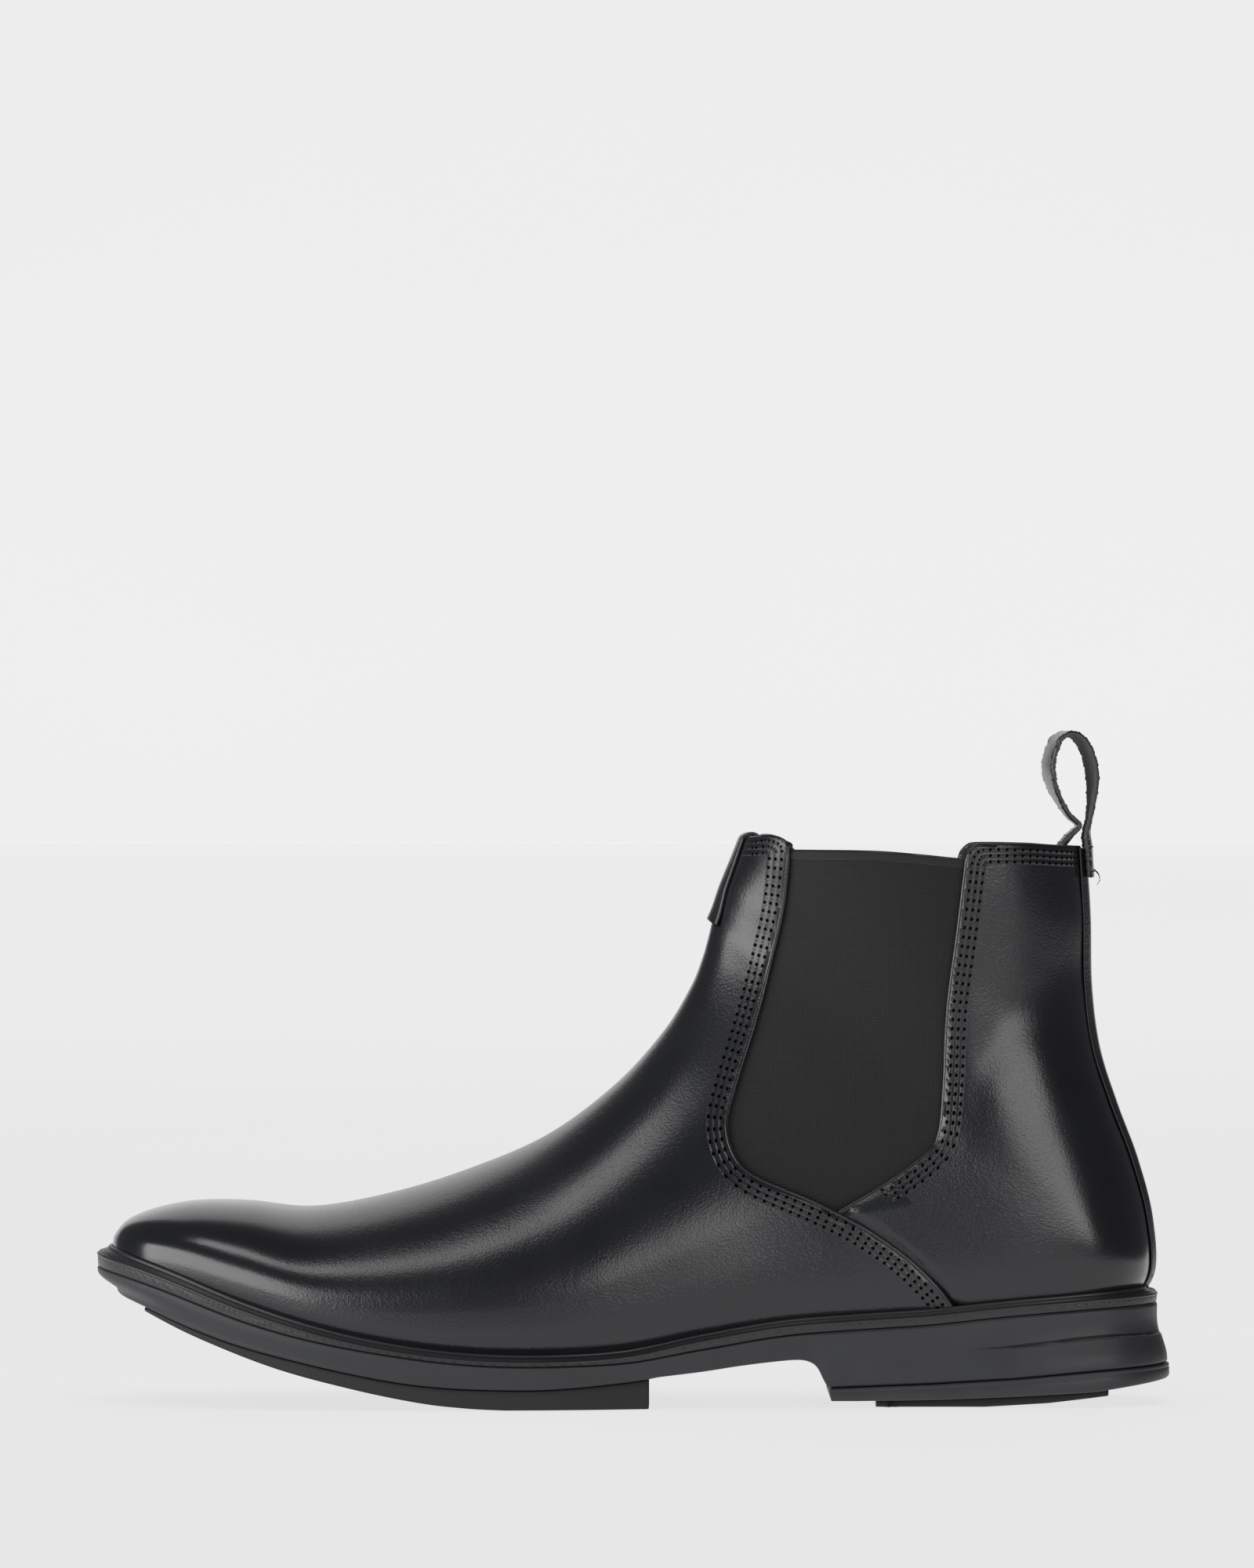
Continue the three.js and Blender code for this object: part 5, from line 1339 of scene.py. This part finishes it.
def box_rows(point, low, high, half, offset, sides):
    """Two rows up and one or two rows across, at half its width and the section numbers low and high."""
    up, across = np.linspace(low, high, sides), np.linspace(-half, half, 30)
    rows = [with_normals(point, up, np.full(sides, y), offset=offset[0]) for y in (-half, half)]
    ends = zip((low, high), offset[1:])
    return rows + [with_normals(point, np.full(30, s), across, offset=o) for s, o in ends]


def back_section(z):
    """Section number at which the back profile has height z."""
    s = np.linspace(18, LAST, 200)
    return np.interp(z, column(3, s), s)


def sew(name, rows, slot, *size):
    """All the rows' stitches as one piece; size is pitch, length and radius where they aren't the seams'."""
    make(name, *joined(*[stitches(*row, *size) for row in rows]), thread, slot=slot)


tab_rows = box_rows(at_front, front_section(137.4), front_section(158.0), 5.8, (1.1, 1.3), 40)
foot_rows = box_rows(at_back, back_section(149.4), back_section(156.4), 7.2, (3.35, 3.35, 3.4), 20)
sew("vamp_seam_stitches", [vamp_row(r, side) for r in ROWS for side in SIDE_NAME], "upper_leather")
sew("quarter_seam_stitches", [quarter_row(r, side) for r in ROWS for side in SIDE_NAME], "upper_leather")
sew("back_strip_stitches", [(*row, None) for row in strip_rows()], "strap_leather", 2.4, 1.6, 0.27)
sew("front_tab_stitches", [(*row, None) for row in tab_rows], "strap_leather", 2.2, 1.5, 0.26)
sew("loop_foot_stitches", [(*row, None) for row in foot_rows], "strap_leather", 2.2, 1.5, 0.26)

# A cut thread end stands out where the loop's foot was tied off.
end_path = smooth([[129.8, -8.4, 150.2], [131.0, -9.3, 148.9], [131.3, -9.6, 147.2], [130.6, -9.9, 146.0]], 24)
end_normals = np.tile([0.3, 0.2, 1.0], (len(end_path), 1))
make("thread_end", *tube(end_path, end_normals, 0.22, 8), thread, slot="strap_leather")

# %% [markdown]
# The stiffeners, insole board, filler and shank are inside and never show. They keep their CAD shapes and
# get plain procedural finishes, so that a cut-open view still reads correctly.

# %% Hidden pieces
def refinish(node, material):
    """Gives a CAD piece its finish."""
    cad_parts[node].data.materials.clear()
    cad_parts[node].data.materials.append(material)


STIFFENER = (0.25, 0.23, 0.2), (0.34, 0.31, 0.27), 500
for node, looks in {"toe_puff": STIFFENER, "heel_counter": STIFFENER,
                    "insole_board": ((0.32, 0.25, 0.16), (0.45, 0.36, 0.24), 400),
                    "filler": ((0.3, 0.2, 0.1), (0.42, 0.3, 0.17), 250)}.items():
    refinish(node, suede(f"{node}_finish", *looks))
steel = Finish("shank_steel", Metallic=1.0)
brushed = steel.noise(600, 2.0, at=steel.place((1, 12, 12)))
steel_paint = steel.blend(brushed, (0.42, 0.43, 0.45), (0.6, 0.61, 0.63))
refinish("shank", steel.set(Base_Color=steel_paint, Roughness=0.28 + brushed * 0.15))

# %% [markdown]
# The studio is a pale paper sweep that glows a little. Black leather shows mostly what it reflects, so the
# lights' places set its look: a large soft box beyond the toe, a narrow one over the vamp and one in front
# of the heel. Light linking keeps these off the paper, and a fourth light falls on the paper alone.

# %% Studio
# y and z of the paper in metres: flat under the boot, then up a long way behind it
PAPER = smooth([[-2.6, 0], [0.2, 0], [3.0, 0.0], [4.2, 0.12], [4.6, 0.6], [4.7, 5.2]], 80)
PAPER_HALF = 1.7
grid = np.stack([np.column_stack([np.full(len(PAPER), x), PAPER]) for x in (-PAPER_HALF, PAPER_HALF)], 1)


def paper():
    """Matt pale paper, glowing evenly."""
    f = Finish("studio_paper", Emission_Strength=1.0, Specular_IOR_Level=0.0)
    mottle = f.noise(3, 2.0)
    paint = f.blend(mottle, (0.36, 0.36, 0.36), (0.37, 0.37, 0.37))
    return f.set(Base_Color=paint, Roughness=0.9 + mottle * 0.05,
                 Emission_Color=f.blend(mottle, (0.72, 0.72, 0.725), (0.73, 0.73, 0.735)))


backdrop = make("backdrop", grid.reshape(-1, 3) * 1000 - ORIGIN, quads(81, 2), paper(), ride=False)


def softbox(name, place, target, size, power):
    """A rectangular area light at place that faces target."""
    light = bpy.data.lights.new(name, "AREA")
    light.shape, (light.size, light.size_y), light.energy = "RECTANGLE", size, power
    lamp = bpy.data.objects.new(name, light)
    bpy.context.collection.objects.link(lamp)
    lamp.location = place
    way = np.array(target, float) - place
    lamp.rotation_euler = (math.acos(-way[2] / np.linalg.norm(way)), 0, math.atan2(-way[0], way[1]))
    return lamp


def lit_group(name, things):
    """A collection that lights can be linked to."""
    group = bpy.data.collections.new(name)
    bpy.context.scene.collection.children.link(group)
    for thing in things:
        group.objects.link(thing)
    return group


meshes = [thing for thing in bpy.context.scene.objects if thing.type == "MESH" and thing != backdrop]
pieces, paper_only = lit_group("boot_pieces", meshes), lit_group("paper_only", [backdrop])

for name, place, target, size, power, lit in (
        ("toe_side", (-1.416, -0.76, 0.46), (-0.1, 0, 0.04), (2.08, 1.0), 27, pieces),
        ("over_vamp", (-0.5, -0.34, 1.4), (0, 0, 0.05), (0.7, 0.34), 2.6, pieces),
        ("heel_side", (0.88, -1.24, 0.43), (0.12, 0, 0.06), (1.15, 0.46), 5.6, pieces),
        ("paper_light", (0, -0.3, 2.4), (0, 0, 0), (2.5, 2.5), 9, paper_only)):
    softbox(name, place, target, size, power).light_linking.receiver_collection = lit

world = bpy.data.worlds.new("room")
bpy.context.scene.world = world
world.use_nodes = True
world.node_tree.nodes["Background"].inputs[0].default_value = (0.06, 0.06, 0.063, 1)

camera = bpy.data.objects.new("camera", bpy.data.cameras.new("camera"))
bpy.context.collection.objects.link(camera)
camera.location = (-0.0017, -2.998, 0.1743)
camera.rotation_euler = (math.pi / 2, 0, 0)
camera.data.sensor_fit, camera.data.sensor_height, camera.data.sensor_width = "VERTICAL", 36, 36
camera.data.lens = 243.6
camera.data.clip_end = 20
bpy.context.scene.camera = camera
bpy.context.scene.view_settings.view_transform = "Standard"
